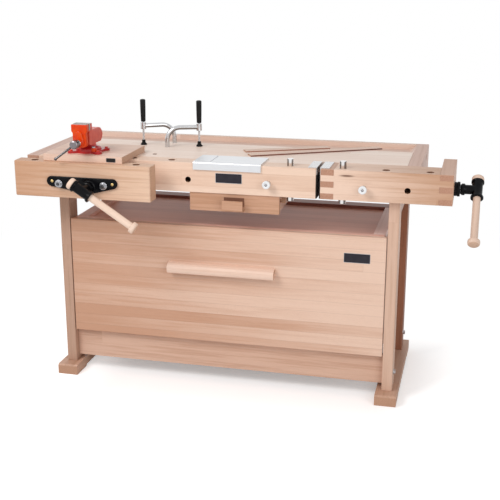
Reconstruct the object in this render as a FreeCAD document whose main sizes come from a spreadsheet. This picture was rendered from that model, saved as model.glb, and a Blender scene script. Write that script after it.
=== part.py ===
import FreeCAD, Part
import math
import os
import Sketcher

# Joiner's bench with a face vise, a tail vise, a bench-top metal vise, two hold-downs, a till
# drawer and a chest drawer. Lengths are millimetres and angles are degrees. Every solid is drawn
# from the left end of the worktop (X), the front face of the apron (Y) and the floor (Z), and is
# then shifted so that the origin lies under the middle of the whole bench.

DRIVING = {
    # worktop
    "top_length": 1495.0, "top_depth": 600.0, "top_height": 900.0, "panel_thick": 50.0,
    "apron_length": 1129.0, "apron_height": 111.5, "apron_thick": 76.0, "cap_thick": 49.0,
    "rim_thick": 25.0, "tray_width": 172.0, "tray_sunk": 20.0, "tray_board": 18.0,
    "ramp_reach": 24.0, "batten_wide": 50.0, "edge_round": 1.2, "finger_count": 5.0,
    # dog holes
    "dog_bore": 28.0, "dog_line": 37.0, "dog_pitch": 152.0, "dog_start": 117.0,
    "dog_clear": 0.3, "dog_length": 157.0, "dog_proud": 26.0, "dog_flat": 4.0,
    "dog_tip": 9.0, "dog_tip_long": 20.0, "dog_slot": 6.0,
    "peg_bore": 22.0, "peg_drop": 64.0, "peg_aside": 74.0,
    "peg_depth": 60.0, "peg_proud": 12.0, "knob_wide": 30.0, "knob_long": 20.0,
    "clamp_bore": 19.0, "clamp_line": 474.0, "clamp_front": 130.0, "clamp_middle": 287.0,
    "clamp_back": 383.0,
    # trestles
    "leg_wide": 39.0, "leg_deep": 80.0, "leg_inset": 105.0, "leg_front": 42.0,
    "leg_back": 469.0, "right_leg": 1393.0, "foot_wide": 82.0, "foot_high": 41.0,
    "foot_front": -9.5, "foot_relief": 7.0, "foot_pad": 95.0, "bearer_high": 60.0,
    "rail_high": 116.0, "rail_floor": 59.0, "rail_thick": 24.0, "rail_setback": 28.0,
    "bolt_rise": 48.0, "bolt_radius": 5.0, "tenon_long": 25.0, "tenon_thick": 15.0,
    "tenon_shoulder": 12.0, "washer_thick": 2.0, "bolt_head": 6.5,
    # chest and its drawer
    "chest_gap": 13.0, "chest_board": 22.0, "chest_back_y": 580.0, "chest_drop": 143.5,
    "frame_thick": 20.0, "frame_side": 45.0, "frame_front": 23.0, "frame_back": 62.0,
    "lid_sunk": 13.0, "lid_thick": 10.0, "floor_thick": 16.0, "drawer_face": 26.0,
    "face_gap": 3.0, "drawer_wall": 16.0, "drawer_floor": 9.0, "drawer_play": 1.5,
    "drawer_lift": 22.0, "drawer_room": 52.0, "drawer_depth": 460.0, "runner_high": 22.0,
    "runner_rise": 125.0, "groove_deep": 9.0, "slide_gap": 0.3, "grip_long": 421.0,
    "grip_rise": 282.0, "grip_shift": -6.0, "grip_high": 42.0, "grip_deep": 34.0,
    # till under the apron
    "till_left": 651.0, "till_wide": 343.0, "till_high": 69.5, "till_face": 20.0,
    "till_wall": 12.0, "till_depth": 380.0, "till_front": 6.0, "hanger_thick": 16.0,
    "pull_wide": 78.0, "pull_deep": 32.0, "till_groove": 6.0, "till_step": 5.0,
    # face vise
    "jaw_length": 538.0, "jaw_thick": 63.0, "jaw_height": 133.0, "jaw_open": 53.0,
    "jaw_corner": 8.0, "jaw_dog_end": 73.0, "face_screw_x": 301.5, "face_screw_drop": 86.0,
    "face_rod_left": 182.0, "face_rod_right": 358.5, "face_rod_drop": 78.0,
    "rod_radius": 10.0,
    "screw_radius": 14.0, "fit_gap": 0.05, "screw_reach": 235.0, "rod_reach": 285.0,
    "flange_thick": 8.0, "flange_left": 152.5, "flange_right": 393.5, "flange_drop": 70.0,
    "flange_end": 19.0, "flange_hub": 27.0, "boss_radius": 27.0, "face_boss": 6.0,
    "neck_radius": 18.0, "neck_long": 42.0, "neck_ring": 21.5, "sleeve_radius": 18.5,
    "sleeve_ring": 23.0, "sleeve_long": 77.0, "bar_radius": 13.5, "bar_gap": 0.3,
    "bar_long": 300.0, "knob_radius": 22.0, "knob_thick": 20.0, "knob_soft": 5.0, "face_bar_tilt": 33.0,
    "rod_cap": 12.0, "rod_cap_thick": 7.0, "collar_thick": 8.0, "nut_radius": 17.0,
    "nut_flange": 29.0, "bush_radius": 13.0, "bush_flange": 19.0, "nut_face": 7.0,
    # tail vise
    "tail_gap": 16.5, "tail_length": 473.0, "tail_depth": 130.0, "tail_lid": 30.0,
    "tail_play": 4.0, "tail_drop": 0.5, "cheek_reach": 303.0, "tail_screw_y": 103.0,
    "tail_screw_drop": 70.0, "tail_boss": 21.0, "tail_screw_long": 330.0, "guide_y": 272.0,
    "guide_long": 370.0, "tail_dog_first": 76.5, "tail_dog_pitch": 156.0,
    "tail_peg_first": 157.0, "tail_peg_pitch": 157.0, "plate_thick": 2.5, "plate_wide": 31.0,
    "plate_drop": 26.0, "plate_inset": 10.0, "lining_thick": 4.0, "tail_bar_tilt": 50.0,
    # loose fittings on the worktop
    "hook_left": 668.0, "hook_wide": 258.0, "hook_depth": 130.0, "hook_thick": 6.0,
    "hook_drop": 30.0, "hook_slot": 63.0, "slot_wide": 3.0, "slot_sunk": 2.5,
    "stick_long": 545.0, "stick_wide": 43.0, "stick_thick": 5.0, "stick_angle": 30.0,
    "stick_x": 849.0, "stick_y": 165.0, "far_stick_long": 345.0, "far_stick_x": 810.0,
    "far_stick_y": 245.0, "far_stick_angle": 26.5,
    "board_left": 110.0, "board_wide": 312.0, "board_front": -90.0, "board_depth": 252.0,
    "board_thick": 26.0, "cleat_wide": 220.0, "cleat_high": 56.0, "rest_gap": 0.3,
    # metal vise
    "mv_x": 261.0, "mv_y": -12.0, "mv_lug_x": 54.0, "mv_lug_y": 42.0, "mv_scoop": 110.0,
    "mv_lug_radius": 13.0, "mv_plate": 9.0,
    "mv_drum": 48.0, "mv_waist": 33.0, "mv_body_low": 34.0, "mv_width": 56.0,
    "mv_jaw_wide": 62.0, "mv_jaw_top": 115.0, "mv_jaw_thick": 24.0, "mv_face": -56.5,
    "mv_anvil": 88.0, "mv_tail": 74.0, "mv_spindle_z": 49.0, "mv_slide": 24.0,
    "mv_slide_long": 96.0, "mv_spindle": 8.0, "mv_head": 15.0,
    "mv_tip": 25.0, "mv_bar": 4.5, "mv_bar_long": 132.0, "mv_bar_ball": 7.0,
    "mv_bar_tilt": 36.0, "mv_insert": 5.0, "mv_insert_high": 24.0,
    "mv_screw_past": 50.0,
    # hold-downs
    "hold_post": 9.0, "hold_bend": 52.0, "hold_level": 78.0, "hold_reach": 129.0,
    "hold_sunk": 110.0, "hold_eye": 11.5, "hold_eye_high": 27.0, "hold_left_angle": 212.0,
    "hold_right_angle": 20.5, "hold_screw": 4.5, "hold_grip": 11.5, "hold_grip_long": 90.0,
    "hold_screw_in": 30.0, "hold_clear": 3.0, "hold_soft": 2.0,
    "hold_pad": 13.0, "hold_pad_high": 20.0, "hold_pad_bore": 12.0,
}

X_DIRECTION = FreeCAD.Rotation(FreeCAD.Vector(0, 1, 0), 90)
Y_DIRECTION = FreeCAD.Rotation(FreeCAD.Vector(1, 0, 0), -90)
Z_DIRECTION = FreeCAD.Rotation()
DIRECTIONS = {"x": X_DIRECTION, "y": Y_DIRECTION, "z": Z_DIRECTION}


class Size:
    """A number together with the spreadsheet expression that it comes from."""

    def __init__(self, text, value):
        self.text = text
        self.value = value

    def joined(self, sign, other, value):
        """A new size made of this one and another."""
        return Size("(%s %s %s)" % (self.text, sign, text_of(other)), value)

    def __add__(self, other):
        return self.joined("+", other, self.value + number(other))

    def __radd__(self, other):
        return Size("(%s + %s)" % (text_of(other), self.text), number(other) + self.value)

    def __sub__(self, other):
        return self.joined("-", other, self.value - number(other))

    def __rsub__(self, other):
        return Size("(%s - %s)" % (text_of(other), self.text), number(other) - self.value)

    def __mul__(self, other):
        return self.joined("*", other, self.value * number(other))

    __rmul__ = __mul__

    def __truediv__(self, other):
        return self.joined("/", other, self.value / number(other))

    def __neg__(self):
        return Size("(0 - %s)" % self.text, -self.value)


ZERO = Size("0", 0.0)
OVER = 1.0


def number(size):
    """The plain value of a size or a number."""
    return size.value if isinstance(size, Size) else float(size)


def text_of(size):
    """The expression text of a size or a number."""
    return size.text if isinstance(size, Size) else "(%.9g)" % size


def hypotenuse(first, second):
    """The long side of a right triangle with these two sides."""
    text = "sqrt(%s * %s + %s * %s)" % (text_of(first), text_of(first), text_of(second),
                                        text_of(second))
    return Size(text, math.hypot(number(first), number(second)))


class Sheet:
    """The driving dimensions, one spreadsheet cell each, read back by name."""

    def __init__(self, document, values):
        self.cells = document.addObject("Spreadsheet::Sheet", "Sizes")
        self.values = values
        for row, (name, value) in enumerate(values.items(), start=1):
            self.cells.set("A%d" % row, name)
            self.cells.set("B%d" % row, "%.6g" % value)
            self.cells.setAlias("B%d" % row, name)

    def __getattr__(self, name):
        return Size("Sizes." + name, self.values[name])


doc = FreeCAD.newDocument("Bench")
d = Sheet(doc, DRIVING)
doc.recompute()
parts = {}

# ---------------------------------------------------------------- shared places

apron_bottom = d.top_height - d.apron_height
panel_bottom = d.top_height - d.panel_thick
rim_front = d.top_depth - d.rim_thick
tray_front = rim_front - d.tray_width
right_cap = d.top_length - d.cap_thick
tail_left = d.apron_length + d.tail_gap
tail_right = tail_left + d.tail_length
tail_bottom = apron_bottom + d.tail_drop
tail_back = d.tail_depth + d.tail_play
cheek_left = tail_right - d.cap_thick
jaw_back = -d.jaw_open
jaw_front = jaw_back - d.jaw_thick
leg_foot = d.foot_high
face_hub_y = jaw_front - d.flange_thick - d.face_boss - d.neck_long - d.sleeve_radius
tail_hub_x = tail_right + d.tail_boss + d.neck_long + d.sleeve_radius
chest_left = d.leg_inset + d.leg_wide + d.chest_gap
chest_right = d.right_leg - d.chest_gap
chest_front = d.leg_front + d.drawer_face + 1.0
chest_floor = d.rail_floor + d.rail_high
chest_top = apron_bottom - d.chest_drop
peg_line = d.top_height - d.peg_drop
face_screw_level = d.top_height - d.face_screw_drop
face_rod_level = d.top_height - d.face_rod_drop
tail_screw_level = d.top_height - d.tail_screw_drop
bolt_level = d.rail_floor + d.bolt_rise
runner_level = chest_floor + d.runner_rise
board_top = d.top_height + d.board_thick + d.rest_gap
mv_spindle_level = board_top + d.mv_spindle_z

# The whole bench reaches from the worktop's left end to the tail handle's sleeve, and from the
# face vise's sleeve to the worktop's back edge.
frame_x = (tail_hub_x + d.sleeve_ring) / 2.0
frame_y = (face_hub_y - d.knob_radius + d.top_depth) / 2.0


# ---------------------------------------------------------------- ways of making solids

def bind(item, prop, size):
    """Give a property its value and tie it to the sheet."""
    item.setExpression(prop, text_of(size))


def place(item, x, y, z, rotation=Z_DIRECTION, shifted=True):
    """Put an object at a bench position, tied to the sheet."""
    if shifted:
        x = x - frame_x
        y = y - frame_y
    base = FreeCAD.Vector(number(x), number(y), number(z))
    item.Placement = FreeCAD.Placement(base, rotation)
    bind(item, "Placement.Base.x", x)
    bind(item, "Placement.Base.y", y)
    bind(item, "Placement.Base.z", z)
    return item


def block(x0, x1, y0, y1, z0, z1):
    """A box between six bench positions."""
    item = doc.addObject("Part::Box", "Block")
    bind(item, "Length", x1 - x0)
    bind(item, "Width", y1 - y0)
    bind(item, "Height", z1 - z0)
    return place(item, x0, y0, z0)


def rod(direction, x, y, z, radius, length):
    """A cylinder that starts at a point and runs along an axis of the bench."""
    item = doc.addObject("Part::Cylinder", "Rod")
    bind(item, "Radius", radius)
    bind(item, "Height", length)
    return place(item, x, y, z, DIRECTIONS[direction])


def fuse(*items):
    """One solid made of several that touch."""
    item = doc.addObject("Part::MultiFuse", "Joined")
    item.Shapes = list(items)
    item.Refine = True
    return item


def cut(base, *tools):
    """A solid with others taken out of it."""
    item = doc.addObject("Part::Cut", "Bored")
    item.Base = base
    item.Tool = tools[0] if len(tools) == 1 else fuse(*tools)
    item.Refine = True
    return item


def group(*items):
    """Separate solids that share one node."""
    item = doc.addObject("Part::Compound", "Set")
    item.Links = list(items)
    return item


def publish(name, item):
    """Name a finished sub-part and keep it for the export."""
    item.Label = name
    parts[name] = item
    return item


def origin_plane(body, role):
    """One of a body's own origin planes."""
    return [plane for plane in body.Origin.OriginFeatures if plane.Role == role][0]


def new_sketch(body, role):
    """An empty sketch on one of the body's origin planes."""
    sketch = body.newObject("Sketcher::SketchObject", "Outline")
    sketch.AttachmentSupport = [(origin_plane(body, role), "")]
    sketch.MapMode = "FlatFace"
    return sketch


def pin_point(sketch, geometry, end, across, up):
    """Fix one end of a sketch element at a place tied to the sheet."""
    for kind, size in (("DistanceX", across), ("DistanceY", up)):
        rule = Sketcher.Constraint(kind, -1, 1, geometry, end, number(size))
        index = sketch.addConstraint(rule)
        sketch.setExpression("Constraints[%d]" % index, text_of(size))


def arc_between(start, end, radius, turn):
    """The shorter arc from start to end, turning left (+1) or right (-1)."""
    chord = FreeCAD.Vector(end[0] - start[0], end[1] - start[1], 0)
    half = chord.Length / 2.0
    height = math.sqrt(max(radius * radius - half * half, 0.0))
    normal = FreeCAD.Vector(-chord.y, chord.x, 0).normalize() * (height * turn)
    centre = FreeCAD.Vector(start[0], start[1], 0) + chord * 0.5 + normal
    angles = [math.atan2(p[1] - centre.y, p[0] - centre.x) for p in (start, end)]
    first, last = angles if turn > 0 else reversed(angles)
    if last < first:
        last += 2.0 * math.pi
    circle = Part.Circle(centre, FreeCAD.Vector(0, 0, 1), radius)
    return Part.ArcOfCircle(circle, first, last)


def draw_outline(sketch, steps):
    """A closed outline of straight steps (across, up) and arc steps (across, up, radius, turn).

    Each step gives the point that its edge ends at, and the first edge starts at the last point.
    """
    ends = []
    for index, step in enumerate(steps):
        start = [number(size) for size in steps[index - 1][:2]]
        end = [number(size) for size in step[:2]]
        if len(step) == 2:
            shape = Part.LineSegment(FreeCAD.Vector(*start, 0), FreeCAD.Vector(*end, 0))
            ends.append((1, 2))
        else:
            shape = arc_between(start, end, number(step[2]), step[3])
            ends.append((1, 2) if step[3] > 0 else (2, 1))
        sketch.addGeometry(shape, False)
    count = len(steps)
    for index in range(count):
        following = (index + 1) % count
        sketch.addConstraint(Sketcher.Constraint(
            "Coincident", index, ends[index][1], following, ends[following][0]))
    for index, step in enumerate(steps):
        pin_point(sketch, index, ends[index][1], step[0], step[1])
        if len(step) > 2:
            rule = Sketcher.Constraint("Radius", index, number(step[2]))
            place_of_rule = sketch.addConstraint(rule)
            sketch.setExpression("Constraints[%d]" % place_of_rule, text_of(step[2]))


def draw_belt(sketch, circles):
    """The outline of a belt pulled round circles (across, up, radius) given anticlockwise."""
    count = len(circles)
    tangents = []
    for index in range(count):
        ax, ay, ar = [number(size) for size in circles[index]]
        bx, by, br = [number(size) for size in circles[(index + 1) % count]]
        span = math.hypot(bx - ax, by - ay)
        heading = math.atan2(by - ay, bx - ax)
        lean = heading - math.pi / 2.0 - math.asin((br - ar) / span)
        away = FreeCAD.Vector(math.cos(lean), math.sin(lean), 0)
        tangents.append((FreeCAD.Vector(ax, ay, 0) + away * ar, FreeCAD.Vector(bx, by, 0) + away * br,
                         lean))
    for index in range(count):
        x, y, radius = [number(size) for size in circles[index]]
        first = tangents[index - 1][2]
        last = tangents[index][2]
        while last < first:
            last += 2.0 * math.pi
        circle = Part.Circle(FreeCAD.Vector(x, y, 0), FreeCAD.Vector(0, 0, 1), radius)
        sketch.addGeometry(Part.ArcOfCircle(circle, first, last), False)
    for start, end, _ in tangents:
        sketch.addGeometry(Part.LineSegment(start, end), False)
    for index in range(count):
        line = count + index
        sketch.addConstraint(Sketcher.Constraint("Tangent", index, 2, line, 1))
        sketch.addConstraint(Sketcher.Constraint("Tangent", line, 2, (index + 1) % count, 1))
    for index, (x, y, radius) in enumerate(circles):
        pin_point(sketch, index, 3, x, y)
        place_of_rule = sketch.addConstraint(Sketcher.Constraint("Radius", index, number(radius)))
        sketch.setExpression("Constraints[%d]" % place_of_rule, text_of(radius))


def pad_of(body, sketch, length):
    """Pad a sketch along its normal."""
    pad = body.newObject("PartDesign::Pad", "Pad")
    pad.Profile = sketch
    bind(pad, "Length", length)
    sketch.Visibility = False
    return pad


def rounding(body, feature, radius, wanted):
    """Round the edges of a feature that pass the test, which sees each edge."""
    doc.recompute()
    edges = feature.Shape.Edges
    names = ["Edge%d" % (i + 1) for i, edge in enumerate(edges) if wanted(edge)]
    fillet = body.newObject("PartDesign::Fillet", "Rounding")
    fillet.Base = (feature, names)
    bind(fillet, "Radius", radius)
    return fillet


def runs_along(edge, axis):
    """Whether a straight edge runs along an axis given as x, y or z."""
    if edge.Curve.TypeId != "Part::GeomLine":
        return False
    return abs(getattr(edge.tangentAt(edge.FirstParameter), axis)) > 0.999


def easing(body, feature, size):
    """Take the sharp corner off every edge of a feature with a small chamfer."""
    doc.recompute()
    chamfer = body.newObject("PartDesign::Chamfer", "Easing")
    chamfer.Base = (feature, ["Edge%d" % (i + 1) for i in range(len(feature.Shape.Edges))])
    bind(chamfer, "Size", size)
    return chamfer


def board(x0, x1, y0, y1, z0, z1, size=None):
    """A planed board with its edges eased, as a padded and chamfered rectangle."""
    body = doc.addObject("PartDesign::Body", "Board")
    sketch = new_sketch(body, "XY_Plane")
    wide = x1 - x0
    deep = y1 - y0
    draw_outline(sketch, [(wide, ZERO), (wide, deep), (ZERO, deep), (ZERO, ZERO)])
    pad = pad_of(body, sketch, z1 - z0)
    easing(body, pad, d.edge_round if size is None else size)
    return place(body, x0, y0, z0)


def plate(steps, thick, x, y, z, role="XY_Plane", size=None, radius=None, wanted=None):
    """A flat shape padded from an outline, its edges eased by a size or the wanted ones rounded."""
    body = doc.addObject("PartDesign::Body", "Plate")
    sketch = new_sketch(body, role)
    draw_outline(sketch, steps)
    pad = pad_of(body, sketch, thick)
    if size is not None:
        easing(body, pad, size)
    if radius is not None:
        rounding(body, pad, radius, wanted)
    return place(body, x, y, z)


def turned(steps, x, y, z, rotation=Z_DIRECTION):
    """A turned piece: an outline (radius, height) spun about its own axis."""
    body = doc.addObject("PartDesign::Body", "Turned")
    sketch = new_sketch(body, "XZ_Plane")
    draw_outline(sketch, steps)
    spin = body.newObject("PartDesign::Revolution", "Spin")
    spin.Profile = sketch
    spin.ReferenceAxis = (sketch, ["V_Axis"])
    spin.Angle = 360
    sketch.Visibility = False
    return place(body, x, y, z, rotation)


def finger_slots(x0, x1, y0, y1, z0, z1, first):
    """The boxes of every other finger of a box joint, from the top down."""
    count = int(number(d.finger_count))
    step = (z1 - z0) / d.finger_count
    return [block(x0, x1, y0, y1, z1 - step * (index + 1), z1 - step * index)
            for index in range(first, count, 2)]


# ---------------------------------------------------------------- worktop

def dog_positions():
    """The dog holes along the apron that have wood all round them."""
    first = number(d.dog_start)
    last = number(d.apron_length) - 2.0 * number(d.dog_bore)
    count = int((last - first) / number(d.dog_pitch)) + 1
    return [d.dog_start + d.dog_pitch * index for index in range(count)]


def peg_positions():
    """The two side peg holes, each between two of the apron's last dog holes."""
    dogs = dog_positions()
    return [dogs[-4] + d.peg_aside, dogs[-2] + d.peg_aside]


def make_apron():
    """The thick front beam: dog holes, peg holes, vise bores and a box joint at its left end."""
    beam = board(ZERO, d.apron_length, ZERO, d.apron_thick,
                 apron_bottom, d.top_height)
    over = d.top_height + 1.0
    tools = [rod("z", x, d.dog_line, apron_bottom - 1.0, d.dog_bore / 2.0, d.apron_height + 2.0)
             for x in dog_positions()]
    tools += [rod("y", x, -d.edge_round - OVER, peg_line, d.peg_bore / 2.0,
                  d.peg_depth + d.edge_round + OVER)
              for x in peg_positions()]
    tools.append(rod("y", d.face_screw_x, -d.edge_round, face_screw_level, d.nut_radius,
                     d.apron_thick + d.edge_round * 2.0))
    tools += [rod("y", x, -d.edge_round, face_rod_level, d.bush_radius,
                  d.apron_thick + d.edge_round * 2.0)
              for x in (d.face_rod_left, d.face_rod_right)]
    tools += finger_slots(-d.edge_round, d.cap_thick, -d.edge_round, d.apron_thick + 1.0,
                          apron_bottom, d.top_height, 0)
    return publish("front_apron", cut(beam, *tools))


def make_panel():
    """The laminated top, with the recess for the tail vise at its front right corner."""
    left = d.cap_thick
    panel = plate([(d.apron_length - left, ZERO),
                   (d.apron_length - left, tail_back - d.apron_thick),
                   (right_cap - left, tail_back - d.apron_thick),
                   (right_cap - left, tray_front - d.apron_thick),
                   (ZERO, tray_front - d.apron_thick), (ZERO, ZERO)],
                  d.panel_thick, left, d.apron_thick, panel_bottom)
    holes = [rod("z", d.clamp_line, y, panel_bottom - 1.0, d.clamp_bore / 2.0,
                 d.panel_thick + 2.0)
             for y in (d.clamp_front, d.clamp_middle, d.clamp_back)]
    return publish("worktop_panel", cut(panel, *holes))


def make_tray():
    """The sunk tool tray: its floor between the caps, and a sloping ramp at each end."""
    level = d.top_height - d.tray_sunk
    floor = block(d.cap_thick, right_cap, tray_front, rim_front, level - d.tray_board, level)
    ramps = []
    for x, run in ((d.cap_thick, d.ramp_reach), (right_cap, -d.ramp_reach)):
        body = doc.addObject("PartDesign::Body", "Ramp")
        sketch = new_sketch(body, "XZ_Plane")
        high = d.tray_sunk - 2.0
        draw_outline(sketch, [(run, ZERO), (ZERO, high), (ZERO, ZERO)])
        pad_of(body, sketch, d.tray_width)
        ramps.append(place(body, x, rim_front, level))
    return publish("tool_tray", group(floor, *ramps))


def make_caps():
    """The end caps, the left one box-jointed to the apron, the right one with the nut tongue."""
    left = board(ZERO, d.cap_thick, ZERO, d.top_depth, apron_bottom,
                 d.top_height)
    slots = finger_slots(-d.edge_round, d.cap_thick + 1.0, -d.edge_round, d.apron_thick,
                         apron_bottom, d.top_height, 1)
    publish("left_end_cap", cut(left, *slots))

    right = board(right_cap, d.top_length, tail_back, d.top_depth, apron_bottom, d.top_height)
    tongue = block(right_cap, d.top_length, d.apron_thick + 2.0, tail_back + d.edge_round * 2.0,
                   tail_bottom + 2.0, d.top_height - d.tail_lid - 2.0)
    screw = rod("x", right_cap - 1.0, d.tail_screw_y, tail_screw_level, d.nut_radius,
                d.cap_thick + 2.0)
    guide = rod("x", right_cap - 1.0, d.guide_y, tail_screw_level, d.bush_radius,
                d.cap_thick + 2.0)
    recess = rod("x", d.top_length - 8.0, (d.guide_y + d.top_depth) / 2.0,
                 d.top_height - d.panel_thick / 2.0, d.peg_bore * 0.7, d.cap_thick)
    publish("right_end_cap", cut(fuse(right, tongue), screw, guide, recess))


def make_rim():
    """The back board behind the tool tray."""
    rim = board(d.cap_thick, right_cap, rim_front, d.top_depth, apron_bottom, d.top_height)
    return publish("rear_rim_board", rim)


def make_battens():
    """The two battens under the top that sit on the trestles, the right one bored for the guide."""
    side = (d.batten_wide - d.leg_wide) / 2.0
    left = block(d.leg_inset - side, d.leg_inset + d.leg_wide + side, d.apron_thick, rim_front,
                 apron_bottom, panel_bottom)
    right = block(d.right_leg - side, d.right_leg + d.leg_wide + side, tail_back + 3.0, rim_front,
                  apron_bottom, panel_bottom)
    bore = rod("x", d.right_leg - d.batten_wide, d.guide_y, tail_screw_level, d.rod_radius + 2.0,
               d.batten_wide * 3.0)
    return publish("top_battens", group(left, cut(right, bore)))


def make_jaw_plate(x_end, side):
    """A steel angle over the corner of a jaw, on the left (-1) or the right (+1) of the gap."""
    top = d.top_height
    y0 = d.plate_inset
    y1 = d.tail_depth
    inner = x_end - d.plate_thick * side
    outer = x_end + d.plate_wide * side
    low, high = (inner, outer) if side > 0 else (outer, inner)
    flat = block(low, high, y0, y1, top, top + d.plate_thick)
    low, high = (inner, x_end) if side > 0 else (x_end, inner)
    drop = block(low, high, y0, y1, top - d.plate_drop, top + d.plate_thick)
    return fuse(flat, drop)


def make_beam_jaw():
    """The fixed jaw at the right end of the apron: steel angle above, dark lining below."""
    publish("beam_jaw_plate", make_jaw_plate(d.apron_length, -1))
    lining = block(d.apron_length, d.apron_length + d.lining_thick, d.edge_round,
                   d.apron_thick - d.edge_round, apron_bottom + d.edge_round,
                   d.top_height - d.plate_drop)
    return publish("beam_jaw_lining", lining)


# ---------------------------------------------------------------- trestles and rails

def make_trestle(name, left):
    """A sled trestle: foot, two tenoned legs and the bearer between their tops."""
    foot_left = left + d.leg_wide / 2.0 - d.foot_wide / 2.0
    foot_long = d.top_depth - d.foot_front
    corner = d.foot_high * 0.15
    foot = plate([(d.foot_pad, ZERO),
                  (d.foot_pad + d.foot_relief, d.foot_relief),
                  (foot_long - d.foot_pad - d.foot_relief, d.foot_relief),
                  (foot_long - d.foot_pad, ZERO), (foot_long, ZERO),
                  (foot_long, d.foot_high - corner), (foot_long - corner, d.foot_high),
                  (corner, d.foot_high), (ZERO, d.foot_high - corner), (ZERO, ZERO)],
                 d.foot_wide, foot_left, d.foot_front, ZERO, "YZ_Plane")
    middle = left + (d.leg_wide - d.tenon_thick) / 2.0
    bearer_bottom = apron_bottom - d.bearer_high
    bearer_front = d.leg_front + d.leg_deep
    tenon = block(middle, middle + d.tenon_thick, bearer_front - d.tenon_long,
                  d.leg_back + d.tenon_long, bearer_bottom + d.tenon_shoulder,
                  apron_bottom - d.tenon_shoulder)
    legs = []
    sockets = []
    for y in (d.leg_front, d.leg_back):
        y0 = y + d.tenon_shoulder
        y1 = y + d.leg_deep - d.tenon_shoulder
        leg = board(left, left + d.leg_wide, y, y + d.leg_deep, leg_foot, apron_bottom)
        foot_tenon = block(middle, middle + d.tenon_thick, y0, y1, leg_foot - d.tenon_long,
                           leg_foot + d.edge_round * 2.0)
        legs.append(cut(fuse(leg, foot_tenon), tenon))
        sockets.append(block(middle, middle + d.tenon_thick, y0, y1, leg_foot - d.tenon_long,
                             leg_foot + OVER))
    publish("%s_legs" % name, group(*legs))
    bearer = block(left, left + d.leg_wide, bearer_front, d.leg_back, bearer_bottom, apron_bottom)
    return cut(foot, *sockets), fuse(bearer, tenon)


def make_rails():
    """The front and rear lower rails between the trestles."""
    rails = []
    for y in (d.leg_front + d.rail_setback,
              d.leg_back + (d.leg_deep - d.rail_thick) / 2.0):
        rails.append(board(d.leg_inset + d.leg_wide, d.right_leg, y, y + d.rail_thick,
                           d.rail_floor, chest_floor))
    return publish("lower_rails", group(*rails))


def make_bolts():
    """The hexagon bolts with washers that hold the rails to the legs, and the metal vise's four."""
    bolts = []
    across = d.bolt_radius * 1.8
    washer_wide = d.bolt_radius * 2.2
    for x, outward in ((d.leg_inset, -1), (d.right_leg + d.leg_wide, 1)):
        washer_x = x if outward > 0 else x - d.washer_thick
        head_x = x + d.washer_thick if outward > 0 else x - d.washer_thick - d.bolt_head
        for y in (d.leg_front + d.leg_deep / 2.0, d.leg_back + d.leg_deep / 2.0):
            washer = rod("x", washer_x, y, bolt_level, washer_wide, d.washer_thick)
            head = hexagon("x", head_x, y, bolt_level, across, d.bolt_head)
            bolts.append(fuse(washer, head))
    for across_x in (-1, 1):
        for across_y in (-1, 1):
            bolts.append(hexagon("z", d.mv_x + d.mv_lug_x * across_x,
                                 d.mv_y + d.mv_lug_y * across_y, board_top + d.mv_plate,
                                 across * 0.75, d.bolt_head * 0.75))
    return publish("hex_bolts", group(*bolts))


def hexagon(direction, x, y, z, radius, length):
    """A six-sided bar that starts at a point and runs along an axis of the bench."""
    item = doc.addObject("Part::Prism", "Hexagon")
    item.Polygon = 6
    bind(item, "Circumradius", radius)
    bind(item, "Height", length)
    return place(item, x, y, z, DIRECTIONS[direction])


# ---------------------------------------------------------------- chest and its drawer

def make_chest():
    """The chest between the trestles: sides, floor, back and a framed top with a sunk panel."""
    inner_left = chest_left + d.chest_board
    inner_right = chest_right - d.chest_board
    back_front = d.chest_back_y - d.chest_board
    frame_floor = chest_top - d.frame_thick
    carcass = [board(x0, x0 + d.chest_board, chest_front, back_front, chest_floor, frame_floor)
               for x0 in (chest_left, inner_right)]
    carcass.append(block(inner_left, inner_right, chest_front, back_front, chest_floor,
                         chest_floor + d.floor_thick))
    carcass.append(block(chest_left, chest_right, back_front, d.chest_back_y, chest_floor,
                         frame_floor))
    publish("chest_carcass", group(*carcass))
    y1 = chest_front + d.frame_front
    y2 = d.chest_back_y - d.frame_back
    frame = [board(chest_left, chest_right, chest_front, y1, frame_floor, chest_top),
             board(chest_left, chest_right, y2, d.chest_back_y, frame_floor, chest_top),
             board(chest_left, chest_left + d.frame_side, y1, y2, frame_floor, chest_top),
             board(chest_right - d.frame_side, chest_right, y1, y2, frame_floor, chest_top)]
    publish("chest_top_frame", group(*frame))
    lid_top = chest_top - d.lid_sunk
    publish("chest_top_panel", block(chest_left + d.frame_side, chest_right - d.frame_side, y1, y2,
                                     lid_top - d.lid_thick, lid_top))


def make_drawer_box(x0, x1, y0, y1, z0, z1, wall, floor, groove, level, high):
    """Two grooved sides, a back and a floor, as separate boards."""
    sides = []
    for x, inward in ((x0, 1), (x1, -1)):
        low, outer = (x, x + wall) if inward > 0 else (x - wall, x)
        side = block(low, outer, y0, y1, z0, z1)
        slot0, slot1 = (x - 1.0, x + groove) if inward > 0 else (x - groove, x + 1.0)
        slot = block(slot0, slot1, y0 + wall, y1 + 1.0, level - d.slide_gap,
                     level + high + d.slide_gap)
        sides.append(cut(side, slot))
    back = block(x0 + wall, x1 - wall, y1 - wall, y1, z0 + floor, z1)
    bottom = block(x0 + wall, x1 - wall, y0, y1, z0, z0 + floor)
    return group(*sides, back, bottom)


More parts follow.
